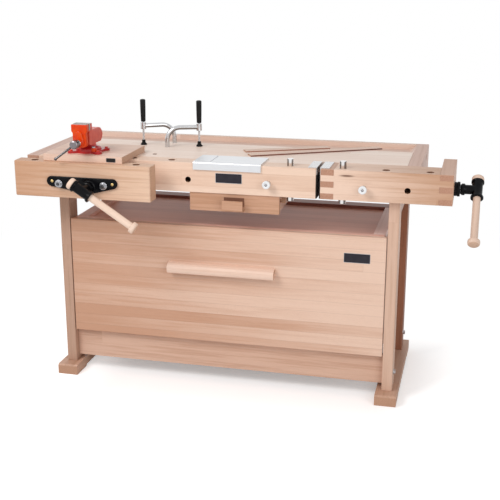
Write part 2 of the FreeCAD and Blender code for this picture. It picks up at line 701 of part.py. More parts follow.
def make_chest_drawer():
    """The deep drawer: its front panel, the box behind it and the long grip rail."""
    face_left = d.leg_inset + d.leg_wide + d.face_gap
    face_right = d.right_leg - d.face_gap
    y1 = d.leg_front + d.drawer_face
    face = board(face_left, face_right, d.leg_front, y1, chest_floor + d.face_gap, chest_top,
                 d.edge_round * 2.0)
    publish("chest_drawer_front", face)
    x0 = chest_left + d.chest_board + d.drawer_play
    x1 = chest_right - d.chest_board - d.drawer_play
    z0 = chest_floor + d.floor_thick + d.drawer_lift
    box = make_drawer_box(x0, x1, y1, y1 + d.drawer_depth, z0, chest_top - d.drawer_room,
                          d.drawer_wall, d.drawer_floor, d.groove_deep, runner_level,
                          d.runner_high)
    publish("chest_drawer_box", box)
    middle = (face_left + face_right) / 2.0
    deep = d.grip_deep
    high = d.grip_high
    grip = plate([(ZERO, high), (-deep * 0.55, high * 0.96),
                  (-deep, high * 0.62, deep * 0.62, 1),
                  (-deep * 0.92, high * 0.12, deep * 0.9, 1),
                  (-deep * 0.62, ZERO, deep * 0.42, 1),
                  (-deep * 0.3, high * 0.42, deep * 0.75, -1),
                  (ZERO, high * 0.5, deep * 0.5, -1)],
                 d.grip_long, middle + d.grip_shift - d.grip_long / 2.0, d.leg_front,
                 chest_floor + d.grip_rise, "YZ_Plane")
    return publish("chest_drawer_grip", grip)


def make_runners():
    """The strips that the two drawers hang on: on the chest's sides and under the worktop."""
    strips = []
    back = d.leg_front + d.drawer_face + d.drawer_depth
    for x, inward in ((chest_left + d.chest_board, 1), (chest_right - d.chest_board, -1)):
        reach = (d.drawer_play + d.groove_deep - d.slide_gap) * inward
        x0, x1 = (x, x + reach) if inward > 0 else (x + reach, x)
        front = d.leg_front + d.drawer_face + d.drawer_wall + d.slide_gap
        strips.append(block(x0, x1, front, back - 1.0, runner_level,
                            runner_level + d.runner_high))
    left = d.till_left + d.till_step
    right = d.till_left + d.till_wide - d.till_step
    level = till_groove_level()
    for x, inward in ((left, 1), (right, -1)):
        face = x - d.slide_gap * inward
        x0, x1 = (face - d.hanger_thick, face) if inward > 0 else (face, face + d.hanger_thick)
        hanger = block(x0, x1, d.apron_thick, tray_front - 2.0, level - 6.0, panel_bottom)
        tip = x + (d.till_groove - d.slide_gap) * inward
        x0, x1 = (face - 1.0, tip) if inward > 0 else (tip, face + 1.0)
        tongue = block(x0, x1, d.apron_thick, tray_front - 2.0, level,
                       level + till_groove_high())
        strips.append(fuse(hanger, tongue))
    return publish("drawer_runners", group(*strips))


# ---------------------------------------------------------------- till

def till_top():
    """The level of the till front's top edge, just clear of the apron."""
    return apron_bottom - d.slide_gap


def till_groove_level():
    """The level of the bottom of the till's side grooves."""
    return till_top() - d.till_high * 0.5


def till_groove_high():
    """The height of the tongues that carry the till."""
    return d.till_high * 0.17


def make_till():
    """The small drawer under the apron: front with its wedge pull, and the box behind it."""
    top = till_top()
    bottom = top - d.till_high
    x0 = d.till_left
    x1 = d.till_left + d.till_wide
    y0 = d.till_front
    y1 = d.till_front + d.till_face
    face = board(x0, x1, y0, y1, bottom, top)
    deep = d.pull_deep
    high = d.till_high
    pull = plate([(1.0, high * 0.04), (1.0, high * 0.8), (ZERO, high * 0.8),
                  (-deep * 0.12, high * 0.42),
                  (-deep * 0.62, high * 0.42, deep * 0.3, -1),
                  (-deep * 0.78, high * 0.7), (-deep, high * 0.7),
                  (-deep, high * 0.17), (ZERO, high * 0.04)],
                 d.pull_wide, (x0 + x1) / 2.0 - d.pull_wide / 2.0, y0, bottom, "YZ_Plane")
    publish("till_front", fuse(face, pull))
    box = make_drawer_box(x0 + d.till_step, x1 - d.till_step, y1, y1 + d.till_depth,
                          bottom + 5.0, top - 8.0, d.till_wall, 5.0, d.till_groove,
                          till_groove_level(), till_groove_high())
    return publish("till_box", box)


# ---------------------------------------------------------------- vise screws and handles

def screw_steps(reach, keeper):
    """The outline of a vise screw with its keeper collar, thrust neck and ring.

    The height runs from the middle of the sleeve towards the nut. The keeper is where the collar
    behind the jaw starts.
    """
    neck_end = d.sleeve_radius + d.neck_long
    ring = neck_end - 1.0
    keeper_end = keeper + d.collar_thick
    end = keeper_end + reach
    return [(ZERO, end), (ZERO, ZERO), (d.neck_radius, ZERO), (d.neck_radius, ring - 12.0),
            (d.neck_ring, ring - 10.0), (d.neck_ring, ring), (d.neck_radius, ring),
            (d.neck_radius, neck_end - 0.3), (d.screw_radius, neck_end - 0.3),
            (d.screw_radius, keeper), (d.screw_radius + 6.0, keeper),
            (d.screw_radius + 6.0, keeper_end), (d.screw_radius, keeper_end),
            (d.screw_radius, end - 4.0), (d.screw_radius - 4.0, end)]


def sleeve_steps():
    """The outline of the sleeve that carries the handle, flared at both ends."""
    half = d.sleeve_long / 2.0
    bore = d.bar_radius + d.bar_gap
    return [(d.sleeve_ring, half), (bore + 1.5, half), (bore, half - 1.5), (bore, 1.5 - half),
            (bore + 1.5, -half), (d.sleeve_ring, -half), (d.sleeve_ring, 9.0 - half),
            (d.sleeve_radius, 12.0 - half), (d.sleeve_radius, half - 12.0),
            (d.sleeve_ring, half - 9.0)]


def handle_steps(end):
    """The outline of one half of the wooden handle: the bar (0) or a knob at either end (-1, 1)."""
    half = d.bar_long / 2.0
    shoulder = half - d.knob_thick
    if end == 0:
        return [(ZERO, shoulder + 6.0), (ZERO, -shoulder - 6.0),
                (d.bar_radius, -shoulder - 6.0), (d.bar_radius, shoulder + 6.0)]
    soft = d.knob_soft
    low = soft * 0.3
    if end > 0:
        return [(ZERO, half), (ZERO, shoulder + 6.0), (d.bar_radius, shoulder + 6.0),
                (d.bar_radius, shoulder), (d.knob_radius - low, shoulder),
                (d.knob_radius, shoulder + low), (d.knob_radius, half - soft),
                (d.knob_radius - low, half - low), (d.knob_radius - soft, half)]
    return [(ZERO, -shoulder - 6.0), (ZERO, -half), (d.knob_radius - soft, -half),
            (d.knob_radius - low, low - half), (d.knob_radius, soft - half),
            (d.knob_radius, -shoulder - low), (d.knob_radius - low, -shoulder),
            (d.bar_radius, -shoulder), (d.bar_radius, -shoulder - 6.0)]


def make_screw(name, x, y, z, rotation, bar_rotation, keeper, reach):
    """A vise screw with the sleeve across its head."""
    core = turned(screw_steps(reach, keeper), x, y, z, rotation)
    bore = rod("z", x, y, z, d.bar_radius + d.bar_gap, d.sleeve_long)
    bore.Placement = FreeCAD.Placement(bore.Placement.Base, bar_rotation)
    half = d.sleeve_long / 2.0
    away = bar_rotation.multVec(FreeCAD.Vector(0, 0, 1))
    place(bore, x - half * away.x, y - half * away.y, z - half * away.z, bar_rotation)
    sleeve = turned(sleeve_steps(), x, y, z, bar_rotation)
    return publish(name, fuse(cut(core, bore), sleeve))


def make_handle(name, x, y, z, bar_rotation):
    """The wooden handle, slid down until its upper knob rests on the sleeve."""
    slid = d.bar_long / 2.0 - d.knob_thick - d.sleeve_long / 2.0 - d.rest_gap
    away = bar_rotation.multVec(FreeCAD.Vector(0, 0, 1))
    pieces = [turned(handle_steps(end), x - slid * away.x, y - slid * away.y, z - slid * away.z,
                     bar_rotation) for end in (0, 1, -1)]
    return publish(name, group(*pieces))


def flanged_steps(inner, outer, flange, length):
    """The outline of a nut or bush: a flange at the bottom and a barrel above it."""
    return [(flange, ZERO), (flange, d.nut_face), (outer, d.nut_face), (outer, length),
            (inner, length), (inner, ZERO)]


# ---------------------------------------------------------------- face vise

def make_face_vise():
    """The face vise: jaw board, cast flange, guide rods, screw, handle, and the nut and bushes."""
    soft = d.jaw_corner
    jaw = plate([(d.jaw_length - soft, ZERO), (d.jaw_length, soft, soft, 1),
                 (d.jaw_length, d.jaw_thick), (ZERO, d.jaw_thick), (ZERO, soft),
                 (soft, ZERO, soft, 1)],
                d.jaw_height, ZERO, jaw_front, d.top_height - d.jaw_height, "XY_Plane",
                d.edge_round * 2.0)
    dog_y = jaw_front + d.jaw_thick / 2.0
    bores = [rod("z", x, dog_y, d.top_height - d.jaw_height - 1.0, d.dog_bore / 2.0,
                 d.jaw_height + 2.0)
             for x in (d.jaw_dog_end, d.jaw_length - d.jaw_dog_end + 10.0)]
    bores.append(rod("y", d.face_screw_x, jaw_front - 1.0, face_screw_level, d.screw_radius + 0.5,
                     d.jaw_thick + 2.0))
    bores += [rod("y", x, jaw_front - 1.0, face_rod_level, d.rod_radius, d.jaw_thick + 2.0)
              for x in (d.face_rod_left, d.face_rod_right)]
    publish("face_jaw", cut(jaw, *bores))

    flange_y = jaw_front - d.flange_thick
    body = doc.addObject("PartDesign::Body", "Flange")
    sketch = new_sketch(body, "XZ_Plane")
    draw_belt(sketch, [(d.flange_left, (d.top_height - d.flange_drop), d.flange_end),
                       (d.face_screw_x, face_screw_level, d.flange_hub),
                       (d.flange_right, (d.top_height - d.flange_drop), d.flange_end)])
    pad = pad_of(body, sketch, d.flange_thick)
    rounding(body, pad, d.edge_round * 1.5,
             lambda edge: edge.BoundBox.YMax < -d.flange_thick.value + 0.1)
    place(body, ZERO, jaw_front, ZERO)
    boss = rod("y", d.face_screw_x, flange_y - d.face_boss, face_screw_level, d.boss_radius,
               d.face_boss + 1.0)
    bores = [rod("y", d.face_screw_x, flange_y - d.face_boss - 1.0, face_screw_level,
                 d.screw_radius + 0.5, d.flange_thick + d.face_boss + 2.0)]
    bores += [rod("y", x, flange_y - 1.0, face_rod_level, d.rod_radius, d.flange_thick + 2.0)
              for x in (d.face_rod_left, d.face_rod_right)]
    publish("face_vise_flange", cut(fuse(body, boss), *bores))

    rods = []
    for x in (d.face_rod_left, d.face_rod_right):
        steps = [(ZERO, ZERO), (d.rod_cap - 1.5, ZERO), (d.rod_cap, 1.5),
                 (d.rod_cap, d.rod_cap_thick), (d.rod_radius, d.rod_cap_thick),
                 (d.rod_radius, d.rod_reach), (ZERO, d.rod_reach)]
        rods.append(turned(steps, x, flange_y - d.rod_cap_thick, face_rod_level, Y_DIRECTION))
    publish("face_guide_rods", group(*rods))

    bar_rotation = FreeCAD.Rotation(FreeCAD.Vector(0, 1, 0), -90 + d.face_bar_tilt.value)
    keeper = jaw_back - face_hub_y + 0.3
    make_screw("face_screw", d.face_screw_x, face_hub_y, face_screw_level, Y_DIRECTION,
               bar_rotation, keeper, d.screw_reach)
    make_handle("face_handle", d.face_screw_x, face_hub_y, face_screw_level, bar_rotation)

    back = FreeCAD.Rotation(FreeCAD.Vector(1, 0, 0), 90)
    nut_y = d.apron_thick + d.nut_face
    pieces = [turned(flanged_steps(d.screw_radius + d.fit_gap, d.nut_radius, d.nut_flange,
                                   d.nut_face + d.apron_thick * 0.6),
                     d.face_screw_x, nut_y, face_screw_level, back)]
    pieces += [turned(flanged_steps(d.rod_radius + d.fit_gap, d.bush_radius, d.bush_flange,
                                    d.nut_face + d.apron_thick * 0.9),
                      x, nut_y, face_rod_level, back)
               for x in (d.face_rod_left, d.face_rod_right)]
    return pieces


# ---------------------------------------------------------------- tail vise

def make_tail_vise():
    """The tail vise: a hollow box-jointed block on a screw and a guide rod."""
    top = d.top_height
    front = board(tail_left, tail_right, ZERO, d.apron_thick, tail_bottom, top)
    tools = finger_slots(tail_left - 1.0, tail_left + d.cap_thick, -d.edge_round,
                         d.apron_thick + 1.0, tail_bottom, top, 0)
    tools += finger_slots(cheek_left, tail_right + 1.0, -d.edge_round, d.apron_thick + 1.0,
                          tail_bottom, top, 0)
    tools += [rod("z", x, d.dog_line, tail_bottom - 1.0, d.dog_bore / 2.0, d.apron_height + 2.0)
              for x in tail_dogs()[:2]]
    tools += [rod("y", x, -d.edge_round, peg_line, d.peg_bore / 2.0, d.peg_depth + d.edge_round)
              for x in (tail_left + d.tail_peg_first,
                        tail_left + d.tail_peg_first + d.tail_peg_pitch)]
    tools.append(rod("z", tail_dogs()[2], d.dog_line, tail_bottom - 1.0, d.dog_bore / 2.0,
                     d.apron_height + 2.0))
    publish("tail_front_board", cut(front, *tools))

    end = board(tail_left, tail_left + d.cap_thick, ZERO, d.tail_depth, tail_bottom, top)
    tools = finger_slots(tail_left - 1.0, tail_left + d.cap_thick + 1.0, -d.edge_round,
                         d.apron_thick, tail_bottom, top, 1)
    publish("tail_jaw_end", cut(end, *tools))

    cheek = board(cheek_left, tail_right, ZERO, d.cheek_reach, tail_bottom, top)
    tools = finger_slots(cheek_left - 1.0, tail_right + 1.0, -d.edge_round, d.apron_thick,
                         tail_bottom, top, 1)
    tools.append(rod("x", cheek_left - 1.0, d.tail_screw_y, tail_screw_level, d.screw_radius + 0.5,
                     d.cap_thick + 2.0))
    tools.append(rod("x", cheek_left - 1.0, d.guide_y, tail_screw_level, d.rod_radius,
                     d.cap_thick + 2.0))
    publish("tail_cheek", cut(cheek, *tools))

    lid = block(tail_left + d.cap_thick, cheek_left, d.apron_thick, d.tail_depth,
                top - d.tail_lid, top)
    publish("tail_top_board", lid)
    publish("tail_jaw_plate", make_jaw_plate(tail_left, 1))
    publish("tail_jaw_lining", block(tail_left - d.lining_thick, tail_left, d.edge_round,
                                     d.apron_thick - d.edge_round, tail_bottom + d.edge_round,
                                     top - d.plate_drop))
    boss = turned([(d.boss_radius - 2.0, d.tail_boss), (d.screw_radius + 0.5, d.tail_boss),
                   (d.screw_radius + 0.5, ZERO), (d.boss_radius, ZERO),
                   (d.boss_radius, d.tail_boss - 2.0)],
                  tail_right, d.tail_screw_y, tail_screw_level, X_DIRECTION)
    publish("tail_vise_boss", boss)
    guide = turned([(ZERO, d.guide_long), (ZERO, ZERO), (d.rod_radius, ZERO),
                    (d.rod_radius, d.guide_long - 2.0), (d.rod_radius - 2.0, d.guide_long)],
                   tail_right - d.guide_long - 6.0, d.guide_y, tail_screw_level, X_DIRECTION)
    publish("tail_guide_rod", guide)

    inward = FreeCAD.Rotation(FreeCAD.Vector(0, 1, 0), -90)
    keeper = tail_hub_x - cheek_left + 0.3
    leaning = FreeCAD.Rotation(FreeCAD.Vector(1, 0, 0), -d.tail_bar_tilt.value)
    make_screw("tail_screw", tail_hub_x, d.tail_screw_y, tail_screw_level, inward, leaning,
               keeper, d.tail_screw_long - d.cap_thick)
    make_handle("tail_handle", tail_hub_x, d.tail_screw_y, tail_screw_level, leaning)
    return [turned(flanged_steps(d.screw_radius + d.fit_gap, d.nut_radius, d.nut_flange - 6.0,
                                   d.nut_face + d.cap_thick),
                     right_cap - d.nut_face, d.tail_screw_y, tail_screw_level, X_DIRECTION),
              turned(flanged_steps(d.rod_radius + d.fit_gap, d.bush_radius, d.bush_flange,
                                   d.nut_face + d.cap_thick * 0.96),
                     right_cap - d.nut_face, d.guide_y, tail_screw_level, X_DIRECTION)]


def tail_dogs():
    """The three dog holes of the tail vise, from the jaw outwards."""
    return [tail_left + d.tail_dog_first + d.tail_dog_pitch * index for index in range(3)]


# ---------------------------------------------------------------- dogs and side pegs

def make_dog(name, x):
    """A round steel dog with a flat on its working side and a leaf spring let into its shank."""
    radius = d.dog_bore / 2.0 - d.dog_clear
    foot = d.top_height + d.dog_proud - d.dog_length
    body = turned([(ZERO, d.dog_length), (ZERO, ZERO), (d.dog_tip - 1.0, ZERO), (d.dog_tip, 1.0 + ZERO),
                   (d.dog_tip, d.dog_tip_long), (radius, d.dog_tip_long),
                   (radius, d.dog_length - 1.0), (radius - 1.0, d.dog_length)],
                  x, d.dog_line, foot)
    flat = block(x + radius - d.dog_flat, x + radius + OVER, d.dog_line - radius,
                 d.dog_line + radius, d.top_height + 2.0, d.top_height + d.dog_proud + OVER)
    half = d.dog_slot / 2.0
    slot = block(x - half, x + half, d.dog_line - radius - OVER, d.dog_line - radius + half,
                 foot - OVER, d.top_height - d.dog_proud)
    return publish(name, cut(body, flat, slot))


def make_peg(name, x):
    """A side peg: a white turned knob on a steel shank that slides in its hole."""
    shank_radius = d.peg_bore / 2.0 - d.dog_clear
    knob = turned([(ZERO, ZERO), (d.knob_wide / 2.0 - 2.5, ZERO), (d.knob_wide / 2.0, 2.5 + ZERO),
                   (d.knob_wide / 2.0, d.knob_long), (ZERO, d.knob_long)],
                  x, -d.peg_proud - d.knob_long, peg_line, Y_DIRECTION)
    shank = rod("y", x, -d.peg_proud, peg_line, shank_radius, d.peg_depth - OVER)
    return publish(name, group(knob, shank))


# ---------------------------------------------------------------- fittings on the worktop

def make_hook_plate():
    """The aluminium angle plate laid over the front edge, with a narrow groove across it."""
    x0 = d.hook_left
    x1 = d.hook_left + d.hook_wide
    outer = d.hook_thick
    low = -d.hook_drop + outer
    gap = d.rest_gap + ZERO
    steps = [(d.hook_depth, ZERO), (d.hook_depth, outer), (-gap, outer),
             (-gap - outer, ZERO, outer, 1), (-gap - outer, low), (-gap, low),
             (-gap, ZERO)]
    body = plate(steps, x1 - x0, x0, ZERO, d.top_height, "YZ_Plane")
    groove = block(x0 + d.hook_slot, x0 + d.hook_slot + d.slot_wide, ZERO + outer, d.hook_depth + 1.0,
                   d.top_height + d.hook_thick - d.slot_sunk, d.top_height + d.hook_thick + 1.0)
    return publish("bench_hook_plate", cut(body, groove))


def make_sticks():
    """Two flat straightedges that lie across the top and over the tool tray."""
    sticks = []
    for x, y, angle, length in ((d.stick_x, d.stick_y, d.stick_angle, d.stick_long),
                                (d.far_stick_x, d.far_stick_y, d.far_stick_angle,
                                 d.far_stick_long)):
        item = doc.addObject("Part::Box", "Stick")
        bind(item, "Length", length)
        bind(item, "Width", d.stick_wide)
        bind(item, "Height", d.stick_thick)
        rotation = FreeCAD.Rotation(FreeCAD.Vector(0, 0, 1), angle.value)
        sticks.append(place(item, x, y, d.top_height, rotation))
    return publish("straightedges", group(*sticks))


def make_vise_board():
    """The board under the metal vise, with the cleat that the face vise grips."""
    z0 = d.top_height + d.rest_gap
    top_board = board(d.board_left, d.board_left + d.board_wide, d.board_front,
                      d.board_front + d.board_depth, z0, board_top)
    middle = d.board_left + d.board_wide / 2.0
    cleat = board(middle - d.cleat_wide / 2.0, middle + d.cleat_wide / 2.0,
                  jaw_back + d.rest_gap, -d.rest_gap, z0 - d.cleat_high,
                  z0 + d.edge_round * 2.0)
    return publish("vise_board", fuse(top_board, cleat))


# ---------------------------------------------------------------- metal vise

def make_metal_vise():
    """The cast vise: lugged base and anvil body, sliding jaw, steel inserts, spindle and bar."""
    base_z = board_top
    body = doc.addObject("PartDesign::Body", "Lugs")
    sketch = new_sketch(body, "XY_Plane")
    draw_belt(sketch, [(d.mv_lug_x * i, d.mv_lug_y * j, d.mv_lug_radius)
                       for i, j in ((-1, -1), (1, -1), (1, 1), (-1, 1))])
    pad = pad_of(body, sketch, d.mv_plate)
    rounding(body, pad, d.edge_round, lambda edge: edge.BoundBox.ZMin > d.mv_plate.value - 0.1)
    place(body, d.mv_x, d.mv_y, base_z)
    side_scoop = hypotenuse(d.mv_scoop - d.mv_lug_x, d.mv_lug_y) - d.mv_lug_radius
    end_scoop = hypotenuse(d.mv_lug_x, d.mv_scoop - d.mv_lug_y) - d.mv_lug_radius
    scoops = [rod("z", d.mv_x + dx * d.mv_scoop, d.mv_y + dy * d.mv_scoop, base_z - OVER,
                  radius, d.mv_plate + 2.0 * OVER)
              for dx, dy, radius in ((1, 0, side_scoop), (-1, 0, side_scoop),
                                     (0, 1, end_scoop), (0, -1, end_scoop))]
    lugs = cut(body, *scoops)
    drum = turned([(ZERO, d.mv_body_low + 6.0), (ZERO, ZERO), (d.mv_drum, ZERO),
                   (d.mv_drum, d.mv_plate + 7.0), (d.mv_drum - 4.0, d.mv_plate + 11.0),
                   (d.mv_waist, d.mv_plate + 13.0),
                   (d.mv_waist - 6.0, d.mv_body_low + 6.0, d.mv_waist, -1)],
                  d.mv_x, d.mv_y, base_z)
    half = d.mv_width / 2.0
    low = d.mv_body_low
    face = d.mv_face
    tail = d.mv_tail
    anvil = d.mv_anvil
    trunk = plate([(face, low + 4.0), (face + 14.0, low), (tail - 20.0, low),
                   (tail, low + 26.0, 42.0, 1), (tail - 34.0, anvil, 44.0, 1),
                   (face + 34.0, anvil), (face + 26.0, d.mv_jaw_top - 26.0),
                   (face + 21.0, d.mv_jaw_top - 1.0), (face + d.mv_insert + 1.0, d.mv_jaw_top - 1.0),
                   (face + d.mv_insert + 1.0, d.mv_jaw_top - d.mv_insert_high),
                   (face, d.mv_jaw_top - d.mv_insert_high)],
                  d.mv_width, d.mv_x - half, d.mv_y, base_z, "YZ_Plane", None, 2.0 + ZERO,
                  lambda edge: runs_along(edge, "y") and edge.BoundBox.ZMin > low.value + 1.0
                  and edge.Length > 30.0)
    jaw_half = d.mv_jaw_wide / 2.0
    y_face = d.mv_y + face
    head = block(d.mv_x - jaw_half, d.mv_x + jaw_half, y_face + d.mv_insert, y_face + 22.0,
                 base_z + d.mv_jaw_top - d.mv_insert_high, base_z + d.mv_jaw_top)
    slide_half = d.mv_slide / 2.0
    gap = 0.3
    channel = block(d.mv_x - slide_half - gap, d.mv_x + slide_half + gap, y_face - 1.0,
                    y_face + d.mv_slide_long + 12.0, mv_spindle_level - slide_half - gap,
                    mv_spindle_level + slide_half + gap)
    publish("metal_vise_body", cut(fuse(lugs, drum, trunk, head), channel))

    inserts = []
    for y0 in (y_face, y_face - d.mv_insert - 0.6):
        inserts.append(block(d.mv_x - jaw_half, d.mv_x + jaw_half, y0, y0 + d.mv_insert,
                             base_z + d.mv_jaw_top - d.mv_insert_high,
                             base_z + d.mv_jaw_top + 0.5))
    publish("metal_vise_fixed_insert", inserts[0])
    publish("metal_vise_moving_insert", inserts[1])

    front = -d.mv_jaw_thick - d.mv_insert
    back = -0.6
    step = back - d.mv_insert
    neck = plate([(back, low + 4.0), (back, d.mv_jaw_top - d.mv_insert_high),
                  (step - 1.0, d.mv_jaw_top - d.mv_insert_high), (step - 1.0, d.mv_jaw_top - 1.0),
                  (front + 3.0, d.mv_jaw_top - 1.0), (front, d.mv_jaw_top - 4.0),
                  (front, d.mv_spindle_z - 12.0), (front + 6.0, low + 4.0)],
                 d.mv_width - 4.0, d.mv_x - half + 2.0, y_face, base_z, "YZ_Plane", None,
                 2.0 + ZERO, lambda edge: not runs_along(edge, "x"))
    wings = block(d.mv_x - jaw_half, d.mv_x + jaw_half, y_face + front + 1.0, y_face + step,
                  base_z + d.mv_jaw_top - d.mv_insert_high - 3.0, base_z + d.mv_jaw_top)
    beam = block(d.mv_x - slide_half, d.mv_x + slide_half, y_face + step,
                 y_face + d.mv_slide_long, mv_spindle_level - slide_half,
                 mv_spindle_level + slide_half)
    boss = rod("y", d.mv_x, y_face + front - d.mv_tip, mv_spindle_level, d.mv_head + 1.0,
               d.mv_tip + 2.0)
    bore = rod("y", d.mv_x, y_face + front - d.mv_tip - 5.0, mv_spindle_level, d.mv_spindle + 0.4,
               d.mv_slide_long + d.mv_screw_past + d.mv_head * 2.0)
    publish("metal_vise_jaw", cut(fuse(neck, wings, beam, boss), bore))

    hub_y = y_face + front - d.mv_tip - d.mv_head - 3.0
    rise = math.sqrt(0.5)
    head_radius = d.mv_head
    neck_y = d.mv_head + 3.0 - 0.3
    steps = [(ZERO, d.mv_slide_long + d.mv_screw_past), (ZERO, -head_radius),
             (head_radius, ZERO, head_radius, 1), (head_radius * rise, head_radius * rise,
                                                   head_radius, 1),
             (head_radius * rise, neck_y), (d.mv_spindle, neck_y),
             (d.mv_spindle, d.mv_slide_long + d.mv_screw_past)]
    spindle = turned(steps, d.mv_x, hub_y, mv_spindle_level, Y_DIRECTION)
    bar_rotation = FreeCAD.Rotation(FreeCAD.Vector(0, 1, 0), 90 - d.mv_bar_tilt.value)
    away = bar_rotation.multVec(FreeCAD.Vector(0, 0, 1))
    reach = d.mv_head + 4.0
    cross = rod("z", d.mv_x, hub_y, mv_spindle_level, d.mv_bar + d.fit_gap * 4.0, reach * 2.0)
    place(cross, d.mv_x - reach * away.x, hub_y - reach * away.y,
          mv_spindle_level - reach * away.z, bar_rotation)
    publish("metal_vise_spindle", cut(spindle, cross))

    slid = d.mv_bar_long / 2.0 - d.mv_bar_ball * 2.0 - d.mv_head - d.rest_gap
    half_bar = d.mv_bar_long / 2.0
    ball = d.mv_bar_ball
    low_ball = -half_bar
    steps = [(ZERO, low_ball), (ball, low_ball + ball, ball, 1),
             (d.mv_bar, low_ball + ball * 1.82, ball, 1), (d.mv_bar, half_bar - ball * 1.82),
             (ball, half_bar - ball, ball, 1), (ZERO, half_bar, ball, 1)]
    bar = turned(steps, d.mv_x - slid * away.x, hub_y - slid * away.y,
                 mv_spindle_level - slid * away.z, bar_rotation)
    return publish("metal_vise_bar", bar)


# ---------------------------------------------------------------- hold-downs

def make_hold_down(side, y, angle):
    """A bent hold-down: arm in its hole, feed screw with grip, and the rubber pad below."""
    top = d.top_height
    level = top + d.hold_level
    x = d.clamp_line
    turn = FreeCAD.Rotation(FreeCAD.Vector(0, 0, 1), angle.value)
    ahead = turn.multVec(FreeCAD.Vector(1, 0, 0))
    post = rod("z", x, y, top - d.hold_sunk, d.hold_post, d.hold_sunk + d.hold_level
               - d.hold_bend)
    bend = doc.addObject("Part::Torus", "Bend")
    bind(bend, "Radius1", d.hold_bend)
    bind(bend, "Radius2", d.hold_post)
    bend.Angle3 = 90
    upright = FreeCAD.Rotation(FreeCAD.Vector(1, 0, 0), 90)
    lean = FreeCAD.Rotation(FreeCAD.Vector(0, 1, 0), -90)
    bend_turn = turn.multiply(lean).multiply(upright)
    centre_x = x + d.hold_bend * ahead.x
    centre_y = y + d.hold_bend * ahead.y
    place(bend, centre_x, centre_y, level - d.hold_bend, bend_turn)
    arm = doc.addObject("Part::Cylinder", "Arm")
    bind(arm, "Radius", d.hold_post)
    bind(arm, "Height", d.hold_reach - d.hold_bend)
    place(arm, centre_x, centre_y, level, turn.multiply(X_DIRECTION))
    eye_x = x + d.hold_reach * ahead.x
    eye_y = y + d.hold_reach * ahead.y
    eye = rod("z", eye_x, eye_y, level - d.hold_eye_high / 2.0, d.hold_eye, d.hold_eye_high)
    bore = rod("z", eye_x, eye_y, level - d.hold_eye_high, d.hold_screw + d.fit_gap,
               d.hold_eye_high * 2.0)
    publish("%s_hold_arm" % side, cut(fuse(post, bend, arm, eye), bore))

    pad_bottom = top + d.rest_gap
    socket = d.hold_pad_high - d.hold_pad_bore
    screw_bottom = pad_bottom + socket
    grip_bottom = level + d.hold_eye_high / 2.0 + d.hold_clear
    screw = rod("z", eye_x, eye_y, screw_bottom, d.hold_screw,
                grip_bottom - screw_bottom + d.hold_screw_in)
    neck = d.hold_grip - d.hold_soft
    grip = turned([(ZERO, d.hold_grip_long), (ZERO, d.hold_screw_in),
                   (d.hold_screw, d.hold_screw_in),
                   (d.hold_screw, ZERO), (neck - d.hold_soft, ZERO), (neck, d.hold_soft),
                   (d.hold_grip, d.hold_grip_long * 0.35),
                   (d.hold_grip, d.hold_grip_long - d.hold_soft),
                   (d.hold_grip - d.hold_soft, d.hold_grip_long)],
                  eye_x, eye_y, grip_bottom)
    publish("%s_hold_screw" % side, group(screw, grip))
    bore_radius = d.hold_screw + d.fit_gap
    collar = d.hold_screw + 2.5
    pad = turned([(bore_radius, d.hold_pad_high), (bore_radius, socket), (ZERO, socket),
                  (ZERO, ZERO), (d.hold_pad, ZERO), (d.hold_pad, 4.0),
                  (collar, d.hold_pad_high * 0.62, d.hold_pad * 1.1, -1),
                  (collar, d.hold_pad_high)],
                 eye_x, eye_y, pad_bottom)
    return publish("%s_hold_pad" % side, pad)


# ---------------------------------------------------------------- assembly and export

def build():
    """Make every sub-part."""
    make_apron()
    make_panel()
    make_tray()
    make_caps()
    make_rim()
    make_battens()
    make_beam_jaw()
    trestles = [make_trestle("left", d.leg_inset), make_trestle("right", d.right_leg)]
    publish("trestle_feet", group(*[sled for sled, bearer in trestles]))
    publish("trestle_bearers", group(*[bearer for sled, bearer in trestles]))
    make_rails()
    make_bolts()
    make_chest()
    make_chest_drawer()
    make_runners()
    make_till()
    publish("vise_nuts", group(*make_face_vise(), *make_tail_vise()))
    make_dog("beam_dog", dog_positions()[-1])
    make_dog("tail_dog", tail_dogs()[0])
    make_peg("beam_side_peg", peg_positions()[-1])
    make_peg("tail_side_peg", tail_left + d.tail_peg_first)
    make_hook_plate()
    make_sticks()
    make_vise_board()
    make_metal_vise()
    make_hold_down("left", d.clamp_back, d.hold_left_angle)
    make_hold_down("right", d.clamp_middle, d.hold_right_angle)


def check():
    """Stop if any object failed to compute or any sub-part is not a sound solid."""
    for item in doc.Objects:
        if "Invalid" in item.State or "Error" in item.State:
            raise RuntimeError("%s (%s) did not compute" % (item.Label, item.Name))
    for name, item in parts.items():
        shape = item.Shape
        if shape.isNull() or not shape.isValid() or not shape.Solids:
            raise RuntimeError("%s is not a sound solid" % name)


def export():
    """Write each sub-part to its own STEP file."""
    os.makedirs("parts", exist_ok=True)
    for name, item in sorted(parts.items()):
        item.Shape.exportStep("parts/%s.step" % name)
        box = item.Shape.BoundBox
        print("%-26s %2d solid(s) volume %12.1f  x %8.1f %8.1f  y %8.1f %8.1f  z %7.1f %7.1f"
              % (name, len(item.Shape.Solids), item.Shape.Volume, box.XMin, box.XMax,
                 box.YMin, box.YMax, box.ZMin, box.ZMax))
    print("%d sub-parts" % len(parts))


build()
doc.recompute()
check()
export()
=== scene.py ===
"""A joiner's bench dressed for view: timber, castings, screws and fittings round the CAD frame."""

import logging
import math
from dataclasses import dataclass, replace
from enum import Enum
from typing import Any, Callable, Optional, Sequence, Union

import bpy
from mathutils import Matrix, Vector


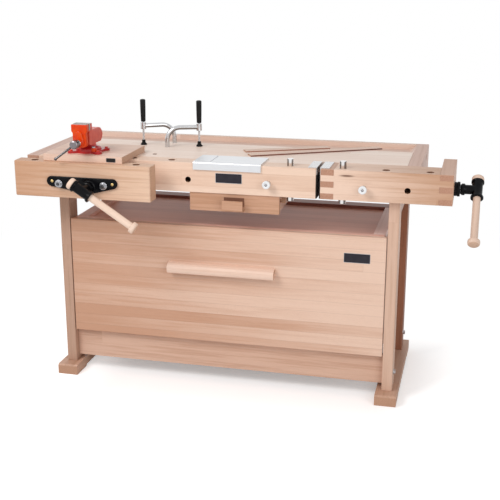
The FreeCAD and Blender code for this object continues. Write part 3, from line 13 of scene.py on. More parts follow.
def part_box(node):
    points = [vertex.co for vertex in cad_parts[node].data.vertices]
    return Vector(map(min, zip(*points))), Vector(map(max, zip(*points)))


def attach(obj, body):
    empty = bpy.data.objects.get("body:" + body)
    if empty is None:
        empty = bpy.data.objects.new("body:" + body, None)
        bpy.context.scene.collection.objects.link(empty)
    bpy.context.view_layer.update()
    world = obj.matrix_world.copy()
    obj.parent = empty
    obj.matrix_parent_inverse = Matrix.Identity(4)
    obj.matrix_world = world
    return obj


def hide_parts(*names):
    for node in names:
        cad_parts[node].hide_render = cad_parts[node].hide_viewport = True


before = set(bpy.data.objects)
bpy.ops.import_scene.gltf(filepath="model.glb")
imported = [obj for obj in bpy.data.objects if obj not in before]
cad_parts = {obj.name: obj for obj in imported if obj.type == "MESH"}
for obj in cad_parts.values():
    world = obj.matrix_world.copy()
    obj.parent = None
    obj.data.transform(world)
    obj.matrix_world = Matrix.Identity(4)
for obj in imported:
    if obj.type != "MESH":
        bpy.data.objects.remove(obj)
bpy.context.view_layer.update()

LOG = logging.getLogger("bench")
MM = 0.001

RGB = tuple[float, float, float]
Point = tuple[float, float, float]
Profile = Sequence[tuple[float, float]]
Value = Any  # a number, a colour or a socket

ORIGIN: Point = (0.0, 0.0, 0.0)
WHITE: RGB = (1.0, 1.0, 1.0)
EASED = 0.9 * MM  # the rounding of a board's edges
STRAIGHT = 1e-12  # a turn smaller than this is none
ASIDE: Point = (0.37, 0.59, 0.83)  # a spot away from every plane and axis that pieces share


class Axis(Enum):
    """An axis of the bench, with its index in a vector."""

    X = 0
    Y = 1
    Z = 2


class Stand(Enum):
    """How a piece that is shaped upright along Z is laid: the angle and the axis of its turn."""

    UP = (0.0, "Z")
    LEFT = (-math.pi / 2, "Y")
    RIGHT = (math.pi / 2, "Y")
    FRONT = (math.pi / 2, "X")
    BACK = (-math.pi / 2, "X")

    def turn(self) -> Matrix:
        """The turn that lays Z along this direction."""
        angle, axis = self.value
        return Matrix.Rotation(angle, 4, axis)


Lay = Union[Stand, Matrix]


# ------------------------------------------------------------------ finishes


class Nodes:
    """A tree of shader nodes that is written as sums are."""

    def __init__(self, tree: bpy.types.NodeTree) -> None:
        """Take up a tree and empty it."""
        self.tree = tree
        self.tree.nodes.clear()

    def put(self, socket: bpy.types.NodeSocket, value: Value) -> None:
        """Link a socket to another, or give it a plain value."""
        if isinstance(value, bpy.types.NodeSocket):
            self.tree.links.new(value, socket)
        elif isinstance(value, tuple) and len(value) == 3 and len(socket.default_value) == 4:
            socket.default_value = (*value, 1.0)
        else:
            socket.default_value = value

    def add(self, kind: str, inputs: Optional[dict] = None, **settings: Value) -> bpy.types.Node:
        """Add a node.

        Args:
            kind: the node's type after "ShaderNode".
            inputs: values or sockets by input name or number.
            settings: the node's own settings.

        Returns:
            The new node.
        """
        node = self.tree.nodes.new("ShaderNode" + kind)
        for name, value in settings.items():
            setattr(node, name, value)
        for key, value in (inputs or {}).items():
            self.put(node.inputs[key], value)
        return node

    def math(self, operation: str, *values: Value) -> bpy.types.NodeSocket:
        """The result of a math node on up to three values."""
        return self.add("Math", dict(enumerate(values)), operation=operation).outputs[0]

    def vectors(self, operation: str, *values: Value) -> bpy.types.Node:
        """A vector math node on up to three vectors."""
        return self.add("VectorMath", dict(enumerate(values)), operation=operation)

    def scaled(self, vector: Value, scale: float) -> bpy.types.NodeSocket:
        """A vector made longer by a factor."""
        return self.add("VectorMath", {0: vector, 3: scale}, operation="SCALE").outputs[0]

    def mix(self, factor: Value, first: Value, second: Value,
            blend: str = "MIX") -> bpy.types.NodeSocket:
        """A colour between two others."""
        return self.add("Mix", {0: factor, 6: first, 7: second}, data_type="RGBA",
                        blend_type=blend).outputs[2]

    def vector(self, x: Value, y: Value, z: Value) -> bpy.types.NodeSocket:
        """A vector from three numbers or sockets."""
        return self.add("CombineXYZ", {0: x, 1: y, 2: z}).outputs[0]

    def split(self, vector: Value) -> Sequence[bpy.types.NodeSocket]:
        """The three parts of a vector."""
        return self.add("SeparateXYZ", {0: vector}).outputs

    def noise(self, vector: Value, detail: float = 2.0,
              roughness: float = 0.5) -> bpy.types.NodeSocket:
        """Grey noise of scale one at a vector."""
        return self.add("TexNoise", {"Vector": vector, "Scale": 1.0, "Detail": detail,
                                     "Roughness": roughness}).outputs["Fac"]

    def ramp(self, value: Value, low: float, high: float) -> bpy.types.NodeSocket:
        """The value taken from between low and high to between 0 and 1, with soft ends."""
        return self.add("MapRange", {0: value, 1: low, 2: high, 3: 0.0, 4: 1.0},
                        interpolation_type="SMOOTHSTEP").outputs[0]

    def place(self) -> bpy.types.NodeSocket:
        """The object coordinates, in metres."""
        return self.add("TexCoord").outputs["Object"]

    def normal(self) -> bpy.types.NodeSocket:
        """The surface's normal, in object space."""
        return self.add("TexCoord").outputs["Normal"]


class Graph(Nodes):
    """A new material's nodes round its one shader."""

    def __init__(self, name: str) -> None:
        """Start a material with an output and a shader."""
        self.material = bpy.data.materials.new(name)
        self.material.use_nodes = True
        super().__init__(self.material.node_tree)
        self.output = self.add("OutputMaterial")
        self.shader = self.add("BsdfPrincipled")
        self.put(self.output.inputs[0], self.shader.outputs[0])

    def dress(self, colour: Value, roughness: Value, metallic: float = 0.0, coat: float = 0.0,
              coat_roughness: float = 0.1, bump: Value = None, depth: float = 0.0,
              specular: float = 0.5) -> bpy.types.Material:
        """Set the shader's sockets.

        Args:
            colour: the base colour.
            roughness: the roughness.
            metallic: 1 for bare metal.
            coat: how strong the clear coat is.
            coat_roughness: the coat's roughness.
            bump: the height of a fine relief, if there is one.
            depth: how deep that relief is, in metres.
            specular: the specular level.

        Returns:
            The material.
        """
        for name, value in (("Base Color", colour), ("Roughness", roughness),
                            ("Metallic", metallic), ("Specular IOR Level", specular),
                            ("Coat Weight", coat), ("Coat Roughness", coat_roughness)):
            self.put(self.shader.inputs[name], value)
        if bump is not None:
            relief = self.add("Bump", {"Strength": 1.0, "Distance": depth, "Height": bump})
            self.put(self.shader.inputs["Normal"], relief.outputs[0])
        return self.material


@dataclass(frozen=True)
class Timber:
    """Laminated beech: staves glued side by side, with grain, rays, joints and end grain.

    Attributes:
        name: the material's name.
        grain: the axis that the staves run along.
        stack: the axis that they are glued along.
        stave: a stave's width, in metres.
        length: a stave's length, in metres.
        light: the colour of the palest places.
        dark: the colour of the darkest.
        end: the colour of the end grain and the glue lines.
        shift: how far the rows are moved along the stack, in metres.
        seed: what the staves' tones are drawn from.
        stripe: how strong the dark stripes are.
        gloss: the roughness.
        tilt: how far the board is turned about an axis, in radians.
        tilt_axis: that axis.
        patch: how far the staves' tones are apart.
        drift: how much paler the board gets with each metre along the grain.
        middle: where along the grain that drift is nothing.
        speckle: how strong the ray flecks are.
        knot: the middle of a small dark knot, if there is one.
    """

    # How often each part of the pattern changes along the grain and across it, per metre.
    CLOUD, STRIPE, FIBRE = (2.4, 9.0), (3.2, 95.0), (45.0, 700.0)
    RAY, PATCH, RING = (230.0, 1500.0), (1.3, 14.0), (0.0, 330.0)
    KNOT_SHAPE, KNOT_COLOUR = (0.16, 0.6, 1.0), (0.13, 0.055, 0.03)

    name: str
    grain: Axis = Axis.X
    stack: Axis = Axis.Z
    stave: float = 0.043
    length: float = 0.62
    light: RGB = (0.80, 0.575, 0.425)
    dark: RGB = (0.61, 0.375, 0.245)
    end: RGB = (0.50, 0.285, 0.175)
    shift: float = 0.013
    seed: float = 1.0
    stripe: float = 0.5
    gloss: float = 0.42
    tilt: float = 0.0
    tilt_axis: Axis = Axis.Z
    patch: float = 0.5
    drift: float = 0.0
    middle: float = 0.0
    speckle: float = 0.34
    knot: Optional[Point] = None

    def material(self) -> bpy.types.Material:
        """Build the timber's node tree."""
        g = Graph(self.name)
        place, normal = g.place(), g.normal()
        if self.tilt:
            turn = [0.0, 0.0, 0.0]
            turn[self.tilt_axis.value] = -self.tilt
            place = g.add("Mapping", {"Vector": place, "Rotation": tuple(turn)}).outputs[0]
            normal = g.add("Mapping", {"Vector": normal, "Rotation": tuple(turn)},
                           vector_type="NORMAL").outputs[0]
        split, facing = g.split(place), g.split(normal)
        third = 3 - self.grain.value - self.stack.value
        along, across, inward = split[self.grain.value], split[self.stack.value], split[third]

        # Each row is one stave wide and each run along it one stave long, set off at random.
        rows = g.math("ADD", g.math("DIVIDE", across, self.stave), self.shift / self.stave + 50.0)
        row = g.math("FLOOR", rows)
        offset = g.add("TexWhiteNoise", {"W": g.math("ADD", row, self.seed)},
                       noise_dimensions="1D").outputs["Value"]
        runs = g.math("ADD", g.math("DIVIDE", along, self.length), g.math("MULTIPLY", offset, 9.7))
        cell = g.add("TexWhiteNoise", {"Vector": g.vector(row, g.math("FLOOR", runs), self.seed)},
                     noise_dimensions="3D")
        own = g.vectors("MULTIPLY", cell.outputs["Color"], (5.0, 3.0, 4.0)).outputs[0]

        def stretched(pull: tuple[float, float]) -> bpy.types.NodeSocket:
            """Coordinates pulled out along the grain, different in each stave."""
            lengthways, sideways = pull
            vector = g.vector(g.math("MULTIPLY", along, lengthways),
                              g.math("MULTIPLY", across, sideways),
                              g.math("MULTIPLY", inward, sideways))
            return g.vectors("ADD", vector, own).outputs[0]

        def from_side(rest: bpy.types.NodeSocket, size: float) -> bpy.types.NodeSocket:
            """The way to the nearer side of a row or run of a size, from the share passed."""
            share = g.math("FRACT", rest)
            nearer = g.math("MINIMUM", share, g.math("SUBTRACT", 1.0, share))
            return g.math("MULTIPLY", nearer, size)

        # The tone: the stave's own, its drift and cloud, less the dark stripes.
        cloud = g.noise(stretched(self.CLOUD), 2.0)
        stripe = g.noise(stretched(self.STRIPE), 3.0, 0.62)
        fibre = g.noise(stretched(self.FIBRE), 2.0, 0.6)
        tone = g.math("ADD", g.math("MULTIPLY_ADD", cell.outputs["Value"], self.patch,
                                    0.31 - self.patch / 2.0),
                      g.math("MULTIPLY_ADD", g.math("SUBTRACT", along, self.middle), self.drift,
                             g.math("MULTIPLY", cloud, 0.46)))
        tone = g.math("SUBTRACT", tone, g.math("MULTIPLY", g.ramp(stripe, 0.42, 0.68), self.stripe))
        colour = g.mix(g.ramp(tone, -0.25, 0.95), self.dark, self.light)

        # Fine fibres over it, and ray flecks that come in patches.
        fine = g.math("MULTIPLY_ADD", fibre, 0.16, 0.92)
        colour = g.mix(1.0, colour, g.add("CombineColor", {0: fine, 1: fine, 2: fine}).outputs[0],
                       "MULTIPLY")
        ray = g.add("TexVoronoi", {"Vector": stretched(self.RAY), "Scale": 1.0,
                                   "Randomness": 1.0}).outputs["Distance"]
        fleck = g.math("SUBTRACT", 1.0, g.ramp(ray, 0.10, 0.26))
        patchy = g.ramp(g.noise(stretched(self.PATCH), 1.0), 0.42, 0.62)
        colour = g.mix(g.math("MULTIPLY", g.math("MULTIPLY", fleck, patchy), self.speckle * 1.6),
                       colour, self.dark)
        if self.knot:
            apart = g.vectors("SUBTRACT", place, self.knot).outputs[0]
            apart = g.vectors("MULTIPLY", apart, self.KNOT_SHAPE).outputs[0]
            near = g.ramp(g.vectors("LENGTH", apart).outputs["Value"], 0.0060, 0.0012)
            colour = g.mix(g.math("MULTIPLY", near, 0.85), colour, self.KNOT_COLOUR)

        # The glue lines, and rings on the end grain.
        gap = g.math("MINIMUM", from_side(rows, self.stave), from_side(runs, self.length))
        joint = g.math("SUBTRACT", 1.0, g.ramp(gap, 0.0001, 0.0008))
        colour = g.mix(g.math("MULTIPLY", joint, 0.30), colour, self.end)
        rings = g.noise(stretched(self.RING), 3.0, 0.7)
        across_end = g.mix(g.ramp(rings, 0.3, 0.7), self.end, tuple(
            0.55 * a + 0.45 * b for a, b in zip(self.end, self.light)))
        is_end = g.ramp(g.math("ABSOLUTE", facing[self.grain.value]), 0.72, 0.9)
        colour = g.mix(is_end, colour, across_end)
        height = g.math("SUBTRACT", g.math("MULTIPLY", fibre, 0.5), g.math("MULTIPLY", joint, 1.5))
        return g.dress(colour, self.gloss, coat=0.03, coat_roughness=0.3, bump=height,
                       depth=0.00012, specular=0.22)


@dataclass(frozen=True)
class Metal:
    """Bare or plated metal, brushed along an axis or turned about one.

    Attributes:
        name: the material's name.
        colour: its colour.
        roughness: its middle roughness.
        grain: the axis that its fine lines run along.
        scratch: how far the lines change the roughness either way.
        stain: the colour of its duller places.
        under_painted_reflection: what is left of the colour on faces that look down and out, where
            a dark reflection is painted.
        flank_painted_reflection: what is left of it on either side of an upright round, where dark
            reflections are painted.
    """

    # How often the fine lines change along the grain and across it, and the cloud, per metre.
    ALONG, ACROSS, CLOUD = 25.0, 900.0, 38.0

    name: str
    colour: RGB = (0.62, 0.62, 0.63)
    roughness: float = 0.3
    grain: Axis = Axis.X
    scratch: float = 0.12
    stain: RGB = (0.35, 0.34, 0.33)
    under_painted_reflection: float = 1.0
    flank_painted_reflection: float = 1.0

    def material(self) -> bpy.types.Material:
        """Build the metal's node tree."""
        g = Graph(self.name)
        place, normal = g.place(), g.split(g.normal())
        split = g.split(place)
        lines = g.noise(g.vector(*(
            g.math("MULTIPLY", split[axis.value], self.ALONG if axis is self.grain else self.ACROSS)
            for axis in Axis)), 3.0)
        cloud = g.noise(g.scaled(place, self.CLOUD), 3.0)
        colour = g.mix(g.math("MULTIPLY", g.ramp(cloud, 0.5, 0.8), 0.35), self.colour, self.stain)

        def painted_reflection_band(value: Value, rise: tuple[float, float], fall: tuple[float, float],
                   left: float, shade: RGB) -> bpy.types.NodeSocket:
            """The colour darkened where a value lies between two soft bounds, as a painted dark
            reflection.
            """
            band = g.math("MULTIPLY", g.ramp(value, *rise), g.ramp(value, *fall))
            return g.mix(g.math("MULTIPLY", band, 1.0 - left), colour, shade)

        # Painted reflection: downward faces and the flanks of upright rounds are darkened as if
        # they mirrored dark surroundings.
        if self.under_painted_reflection < 1.0:
            colour = painted_reflection_band(normal[2], (-0.02, -0.35), (-0.98, -0.8), self.under_painted_reflection,
                            (0.03, 0.03, 0.03))
        if self.flank_painted_reflection < 1.0:
            side = g.math("ABSOLUTE", g.math("SUBTRACT", normal[0], 0.05))
            colour = painted_reflection_band(side, (0.28, 0.48), (0.92, 0.74), self.flank_painted_reflection, (0.05, 0.04, 0.04))
        rough = g.math("MULTIPLY_ADD", lines, self.scratch * 2.0, self.roughness - self.scratch)
        return g.dress(colour, rough, 1.0, bump=lines, depth=0.00003)


@dataclass(frozen=True)
class Coating:
    """Enamel, moulded plastic or rubber over a rougher surface.

    Attributes:
        name: the material's name.
        colour: its colour.
        worn: the colour of its cloudy places.
        roughness: its roughness.
        coat: how strong its clear coat is.
        pebble: how fine its relief is, per metre.
        depth: how deep that relief is, in metres.
        specular: its specular level.
    """

    CLOUD = 45.0  # how often the worn places come, per metre

    name: str
    colour: RGB
    worn: RGB
    roughness: float = 0.3
    coat: float = 0.6
    pebble: float = 420.0
    depth: float = 0.0001
    specular: float = 0.4

    def material(self) -> bpy.types.Material:
        """Build the coating's node tree."""
        g = Graph(self.name)
        place = g.place()
        grit = g.noise(g.scaled(place, self.pebble), 3.0)
        cloud = g.noise(g.scaled(place, self.CLOUD), 3.0)
        colour = g.mix(g.ramp(cloud, 0.35, 0.75), self.colour, self.worn)
        rough = g.math("MULTIPLY_ADD", grit, 0.12, self.roughness - 0.06)
        return g.dress(colour, rough, coat=self.coat, coat_roughness=0.08, bump=grit,
                       depth=self.depth, specular=self.specular)


Finish = Union[Timber, Metal, Coating]


class Finishes:
    """The finishes of the bench, each made once and kept by name."""

    def __init__(self) -> None:
        """Start with none made."""
        self.made: dict[str, bpy.types.Material] = {}

    def of(self, finish: Finish) -> bpy.types.Material:
        """The material of a finish."""
        if finish.name not in self.made:
            self.made[finish.name] = finish.material()
        return self.made[finish.name]


FINISHES = Finishes()

TOP_LIGHT, TOP_DARK = (0.96, 0.80, 0.70), (0.87, 0.68, 0.57)
APRON = Timber("beech_apron", stave=0.0575, length=2.6, light=(0.86, 0.635, 0.50),
               dark=(0.73, 0.49, 0.36), shift=0.049, seed=3.0, stripe=0.32)
# Painted shade: the drift darkens the jaw towards its left end, where less light falls on it.
JAW = Timber("beech_jaw", stave=0.056, length=2.4, light=(0.80, 0.56, 0.41),
             dark=(0.55, 0.305, 0.185), shift=0.049, seed=2.0, drift=1.25, middle=-0.56, patch=0.45,
             stripe=0.35)
TOP = Timber("beech_top", stack=Axis.Y, stave=0.046, length=0.9, light=TOP_LIGHT, dark=TOP_DARK,
             seed=4.0, stripe=0.35)
# The tray's beech is darker than the top's: its own tone with painted shade of its recess.
TRAY_PAINTED_SHADE = Timber("beech_tray_painted_shade", stack=Axis.Y, stave=0.058, length=1.1, light=(0.79, 0.58, 0.49),
              dark=(0.69, 0.48, 0.39), seed=5.0, stripe=0.3)
RIM = Timber("beech_rim", stave=0.056, length=1.9, light=(0.82, 0.65, 0.56),
             dark=(0.68, 0.475, 0.37), seed=6.0, stripe=0.3)
CAP = Timber("beech_cap", grain=Axis.Y, stave=0.06, length=0.9, light=(0.68, 0.465, 0.385),
             dark=(0.54, 0.33, 0.25), end=(0.47, 0.245, 0.155), seed=7.0)
FINGER = replace(CAP, name="beech_finger", light=(0.68, 0.44, 0.325), dark=(0.54, 0.315, 0.215),
                 end=(0.42, 0.205, 0.13), seed=27.0)
TAIL = Timber("beech_tail", stave=0.056, length=0.9, light=(0.84, 0.61, 0.48),
              dark=(0.55, 0.32, 0.205), shift=0.03, seed=8.0, drift=-2.4, middle=0.45, patch=0.4,
              stripe=0.30, knot=(0.380, -0.193, 0.8796))
# Lit and shaded copies of one beech: the left legs painted in shade, the right ones painted
# lighter, the rear faces painted in deep shade.
LEG_LEFT_PAINTED_SHADE = Timber("beech_leg_left_painted_shade", grain=Axis.Z, stack=Axis.Y, stave=0.042, length=1.4,
             light=(0.53, 0.335, 0.245), dark=(0.42, 0.25, 0.17), seed=11.0)
LEG_RIGHT_PAINTED_LIGHT = replace(LEG_LEFT_PAINTED_SHADE, name="beech_leg_right_painted_light", light=(0.73, 0.50, 0.385),
                    dark=(0.61, 0.39, 0.28), seed=31.0)
LEG_REAR_PAINTED_SHADE = replace(LEG_LEFT_PAINTED_SHADE, name="beech_leg_rear_painted_shade", light=(0.36, 0.155, 0.09),
                   dark=(0.26, 0.105, 0.06), seed=32.0)
SLED = Timber("beech_sled", grain=Axis.Y, stack=Axis.X, stave=0.041, length=0.9,
              light=(0.60, 0.375, 0.27), dark=(0.47, 0.27, 0.18), end=(0.47, 0.26, 0.165),
              seed=12.0)
RAIL = Timber("beech_rail", stave=0.058, length=1.9, light=(0.72, 0.48, 0.365),
              dark=(0.56, 0.33, 0.23), shift=0.0, seed=13.0)
# Painted shade: the drift darkens the drawer's front towards its left end, and the dark end colour
# shades its end faces in the gaps beside the legs; it also darkens the glue lines.
DRAWER = Timber("beech_drawer", length=40.0, light=(0.81, 0.575, 0.45),
                dark=(0.575, 0.32, 0.21), end=(0.20, 0.09, 0.055), shift=0.006, seed=21.0,
                drift=0.75, middle=0.10, stripe=0.22, speckle=0.6)
GRIP = Timber("beech_grip", stave=0.2, length=3.0, light=(0.86, 0.63, 0.51),
              dark=(0.74, 0.50, 0.385), seed=14.0)
CHEST_X = Timber("beech_chest_long", stack=Axis.Y, stave=0.05, length=1.9,
                 light=(0.72, 0.48, 0.37), dark=(0.58, 0.36, 0.265), seed=15.0, stripe=0.3)
# Lit and shaded copies of the chest's beech for the lid: the rear board painted in shade, the right
# board painted light.
LID_X = replace(CHEST_X, name="beech_lid_long", light=(0.88, 0.53, 0.43),
                dark=(0.74, 0.42, 0.335), seed=33.0)
LID_Y = replace(LID_X, name="beech_lid_cross", grain=Axis.Y, stack=Axis.X, seed=34.0)
LID_RIGHT_PAINTED_LIGHT = replace(LID_Y, name="beech_lid_right", light=(0.97, 0.74, 0.68),
                    dark=(0.90, 0.64, 0.58), seed=35.0)
LID_REAR_PAINTED_SHADE = replace(LID_X, name="beech_lid_rear", light=(0.34, 0.14, 0.10),
                   dark=(0.24, 0.09, 0.065), seed=36.0)
CHEST_SIDE = replace(CHEST_X, name="beech_chest_side", grain=Axis.Y, stack=Axis.Z, seed=17.0)
TILL = Timber("beech_till", stave=0.09, length=1.2, light=(0.64, 0.375, 0.255),
              dark=(0.49, 0.26, 0.155), shift=0.02, seed=18.0, drift=0.8)
# Painted shade: near-black beech for the groove and ends of the till's pull and for the rails' tops
# in the gap under the drawer.
BEECH_PAINTED_SHADE = replace(TILL, name="beech_till_groove", light=(0.20, 0.085, 0.05),
                      dark=(0.13, 0.05, 0.03), seed=28.0)
BOARD = Timber("beech_board", stack=Axis.Y, stave=0.05, length=0.9, light=(0.82, 0.60, 0.485),
               dark=(0.68, 0.46, 0.35), seed=19.0, stripe=0.35)
STRIP_NEAR = Timber("beech_strip_near", stack=Axis.Y, stave=0.2, length=2.0,
                    light=(0.78, 0.57, 0.455), dark=(0.64, 0.43, 0.33), seed=20.0,
                    tilt=math.radians(30.0))
# Painted shade: dark beech for the strips' edges, standing in for the shadow along them.
STRIP_EDGE_PAINTED_SHADE = replace(STRIP_NEAR, name="beech_strip_edge_painted_shade", light=(0.22, 0.075, 0.045),
                     dark=(0.14, 0.045, 0.028), seed=29.0)
STRIP_FAR_EDGE_PAINTED_SHADE = replace(STRIP_EDGE_PAINTED_SHADE, name="beech_strip_far_edge", light=(0.42, 0.21, 0.15),
                         dark=(0.32, 0.15, 0.105), seed=30.0)
STRIP_FAR = replace(STRIP_NEAR, name="beech_strip_far", seed=22.0, tilt=math.radians(26.5))
TURNED_UP = Timber("beech_turned_up", grain=Axis.Z, stack=Axis.X, stave=0.3, length=2.0,
                   light=(0.80, 0.60, 0.485), dark=(0.66, 0.45, 0.34), end=(0.60, 0.38, 0.26),
                   seed=23.0, stripe=0.3)
TURNED_TAIL = replace(TURNED_UP, name="beech_turned_tail", tilt=math.radians(-50.0),
                      tilt_axis=Axis.X, seed=25.0)
TURNED_SLANT = replace(TURNED_UP, name="beech_turned_slant", light=(0.87, 0.66, 0.53),
                       dark=(0.76, 0.54, 0.41), tilt=math.radians(-57.0), tilt_axis=Axis.Y,
                       seed=24.0)

BRIGHT_STEEL = Metal("bright_steel", (0.66, 0.66, 0.67), 0.26, Axis.Y)
ZINC = Metal("zinc_plate", (0.60, 0.61, 0.64), 0.30, Axis.Z, stain=(0.45, 0.42, 0.36))
NUT_STEEL = Metal("nut_steel", (0.42, 0.42, 0.44), 0.24, Axis.Y, stain=(0.20, 0.19, 0.17))
STUD_STEEL = Metal("stud_steel", (0.10, 0.10, 0.105), 0.35, Axis.Y, stain=(0.06, 0.06, 0.06))
GUIDE_STEEL = Metal("guide_steel", (0.60, 0.60, 0.62), 0.22, Axis.Y)
# Dog steel with painted dark reflections on the flanks of the dogs.
DOG_STEEL = Metal("dog_steel", (0.82, 0.80, 0.79), 0.20, Axis.Z, 0.06, stain=(0.66, 0.64, 0.62),
                  flank_painted_reflection=0.22)
BRASS = Metal("brass", (0.62, 0.46, 0.20), 0.30, Axis.Z, stain=(0.35, 0.25, 0.12))
ALUMINIUM = Metal("milled_aluminium", (0.75, 0.76, 0.78), 0.38, Axis.X, 0.10,
                  stain=(0.66, 0.67, 0.70))
TOOL_STEEL = Metal("tool_steel", (0.245, 0.22, 0.23), 0.28, Axis.Y, stain=(0.17, 0.155, 0.15))
BAR_STEEL = Metal("bar_steel", (0.13, 0.12, 0.12), 0.24, Axis.Y, stain=(0.09, 0.08, 0.08))
MACHINED = Metal("machined_iron", (0.40, 0.39, 0.38), 0.34, Axis.X, stain=(0.25, 0.24, 0.23))
# Chrome with a painted dark reflection on the faces that look down.
CHROME = Metal("chrome", (0.60, 0.60, 0.61), 0.16, Axis.Z, 0.03, stain=(0.46, 0.46, 0.46),
               under_painted_reflection=0.35)
BLACK_CASTING = Coating("black_casting", (0.002, 0.002, 0.003), (0.005, 0.005, 0.006), 0.24, 0.07,
                        300.0, 0.00010, 0.08)
RED_ENAMEL = Coating("red_enamel", (0.68, 0.042, 0.003), (0.78, 0.080, 0.005), 0.30, 0.12, 240.0,
                     0.00012, 0.16)
RED_SHADE = Coating("red_body", (0.62, 0.055, 0.030), (0.70, 0.085, 0.045), 0.34, 0.25, 240.0,
                    0.00012, 0.3)
RED_DEEP = Coating("red_base", (0.42, 0.010, 0.012), (0.55, 0.018, 0.016), 0.30, 0.3, 240.0,
                   0.00012, 0.3)
WHITE_KNOB = Coating("white_knob", (0.84, 0.85, 0.86), (0.78, 0.79, 0.80), 0.25, 0.2, 500.0,
                     0.00002)
GRIP_BLACK = Coating("grip_black", (0.006, 0.006, 0.006), (0.012, 0.012, 0.012), 0.42, 0.03, 900.0,
                     0.00004, 0.16)
PAD_RUBBER = Coating("pad_rubber", (0.006, 0.006, 0.006), (0.012, 0.012, 0.012), 0.62, 0.0, 600.0,
                     0.0001, 0.12)
LINING = Coating("jaw_lining", (0.020, 0.014, 0.012), (0.035, 0.026, 0.022), 0.7, 0.0, 700.0,
                 0.0002, 0.15)
PLATE_NAVY = Coating("plate_navy", (0.022, 0.019, 0.026), (0.030, 0.027, 0.034), 0.34, 0.05, 200.0,
                     0.00001, 0.2)
PLATE_BLACK = Coating("plate_black", (0.008, 0.007, 0.007), (0.014, 0.012, 0.012), 0.4, 0.05,
                      300.0, 0.00002, 0.2)
# Painted shade: the walls of the bores in dark beech, and those of the bores that run back nearly
# black.
BORE_PAINTED_SHADE = Timber("beech_bore_painted_shade", grain=Axis.Z, stack=Axis.X, stave=0.2, length=2.0,
              light=(0.30, 0.15, 0.09), dark=(0.19, 0.09, 0.055), seed=41.0)
BORE_DEEP_PAINTED_SHADE = replace(BORE_PAINTED_SHADE, name="beech_bore_deep_painted_shade", light=(0.055, 0.026, 0.016),
                    dark=(0.030, 0.014, 0.009), seed=42.0)


# ------------------------------------------------------------------ shaping


def centre(node: str) -> Vector:
    """The middle of a CAD node's box."""
    low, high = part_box(node)
    return (low + high) / 2.0


def at(x: float, y: float, z: float) -> Point:
    """A spot in millimetres from the apron's left front corner and the ground, in metres."""
    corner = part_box("front_apron")[0]
    return (corner.x + x * MM, corner.y + y * MM, z * MM)


def mm(profile: Profile) -> list[tuple[float, float]]:
    """A profile given in millimetres, in metres."""
    return [(a * MM, b * MM) for a, b in profile]


def hull(circles: Sequence[tuple[float, float, float]], steps: int = 32) -> Profile:
    """The outline of a belt round some circles.

    Args:
        circles: each circle's middle and radius.
        steps: the points that stand for each circle.

    Returns:
        The corners in order, those inside the belt dropped.
    """
    dots = sorted({(round(x + r * math.cos(math.tau * i / steps), 7),
                    round(y + r * math.sin(math.tau * i / steps), 7))
                   for x, y, r in circles for i in range(steps)})
    outline: list[tuple[float, float]] = []
    for run in (dots, dots[::-1]):
        start = len(outline)
        for dot in run:
            while len(outline) > start + 1:
                (ax, ay), (bx, by) = outline[-2:]
                if (bx - ax) * (dot[1] - ay) - (by - ay) * (dot[0] - ax) > STRAIGHT:
                    break
                outline.pop()
            outline.append(dot)
        outline.pop()
    return outline


def clear_hands() -> None:
    """Leave edit mode and deselect everything."""
    if bpy.context.mode != "OBJECT":
        bpy.ops.object.mode_set(mode="OBJECT")
    bpy.ops.object.select_all(action="DESELECT")


def extrude(x: float, y: float, z: float) -> None:
    """Extrude what is selected by a step."""
    bpy.ops.mesh.extrude_region_move(TRANSFORM_OT_translate={"value": (x, y, z)})


def faces_up(face: bpy.types.MeshPolygon, least: float = 0.9) -> bool:
    """Whether a face looks up, its normal at least this long along Z."""
    return face.normal.z > least


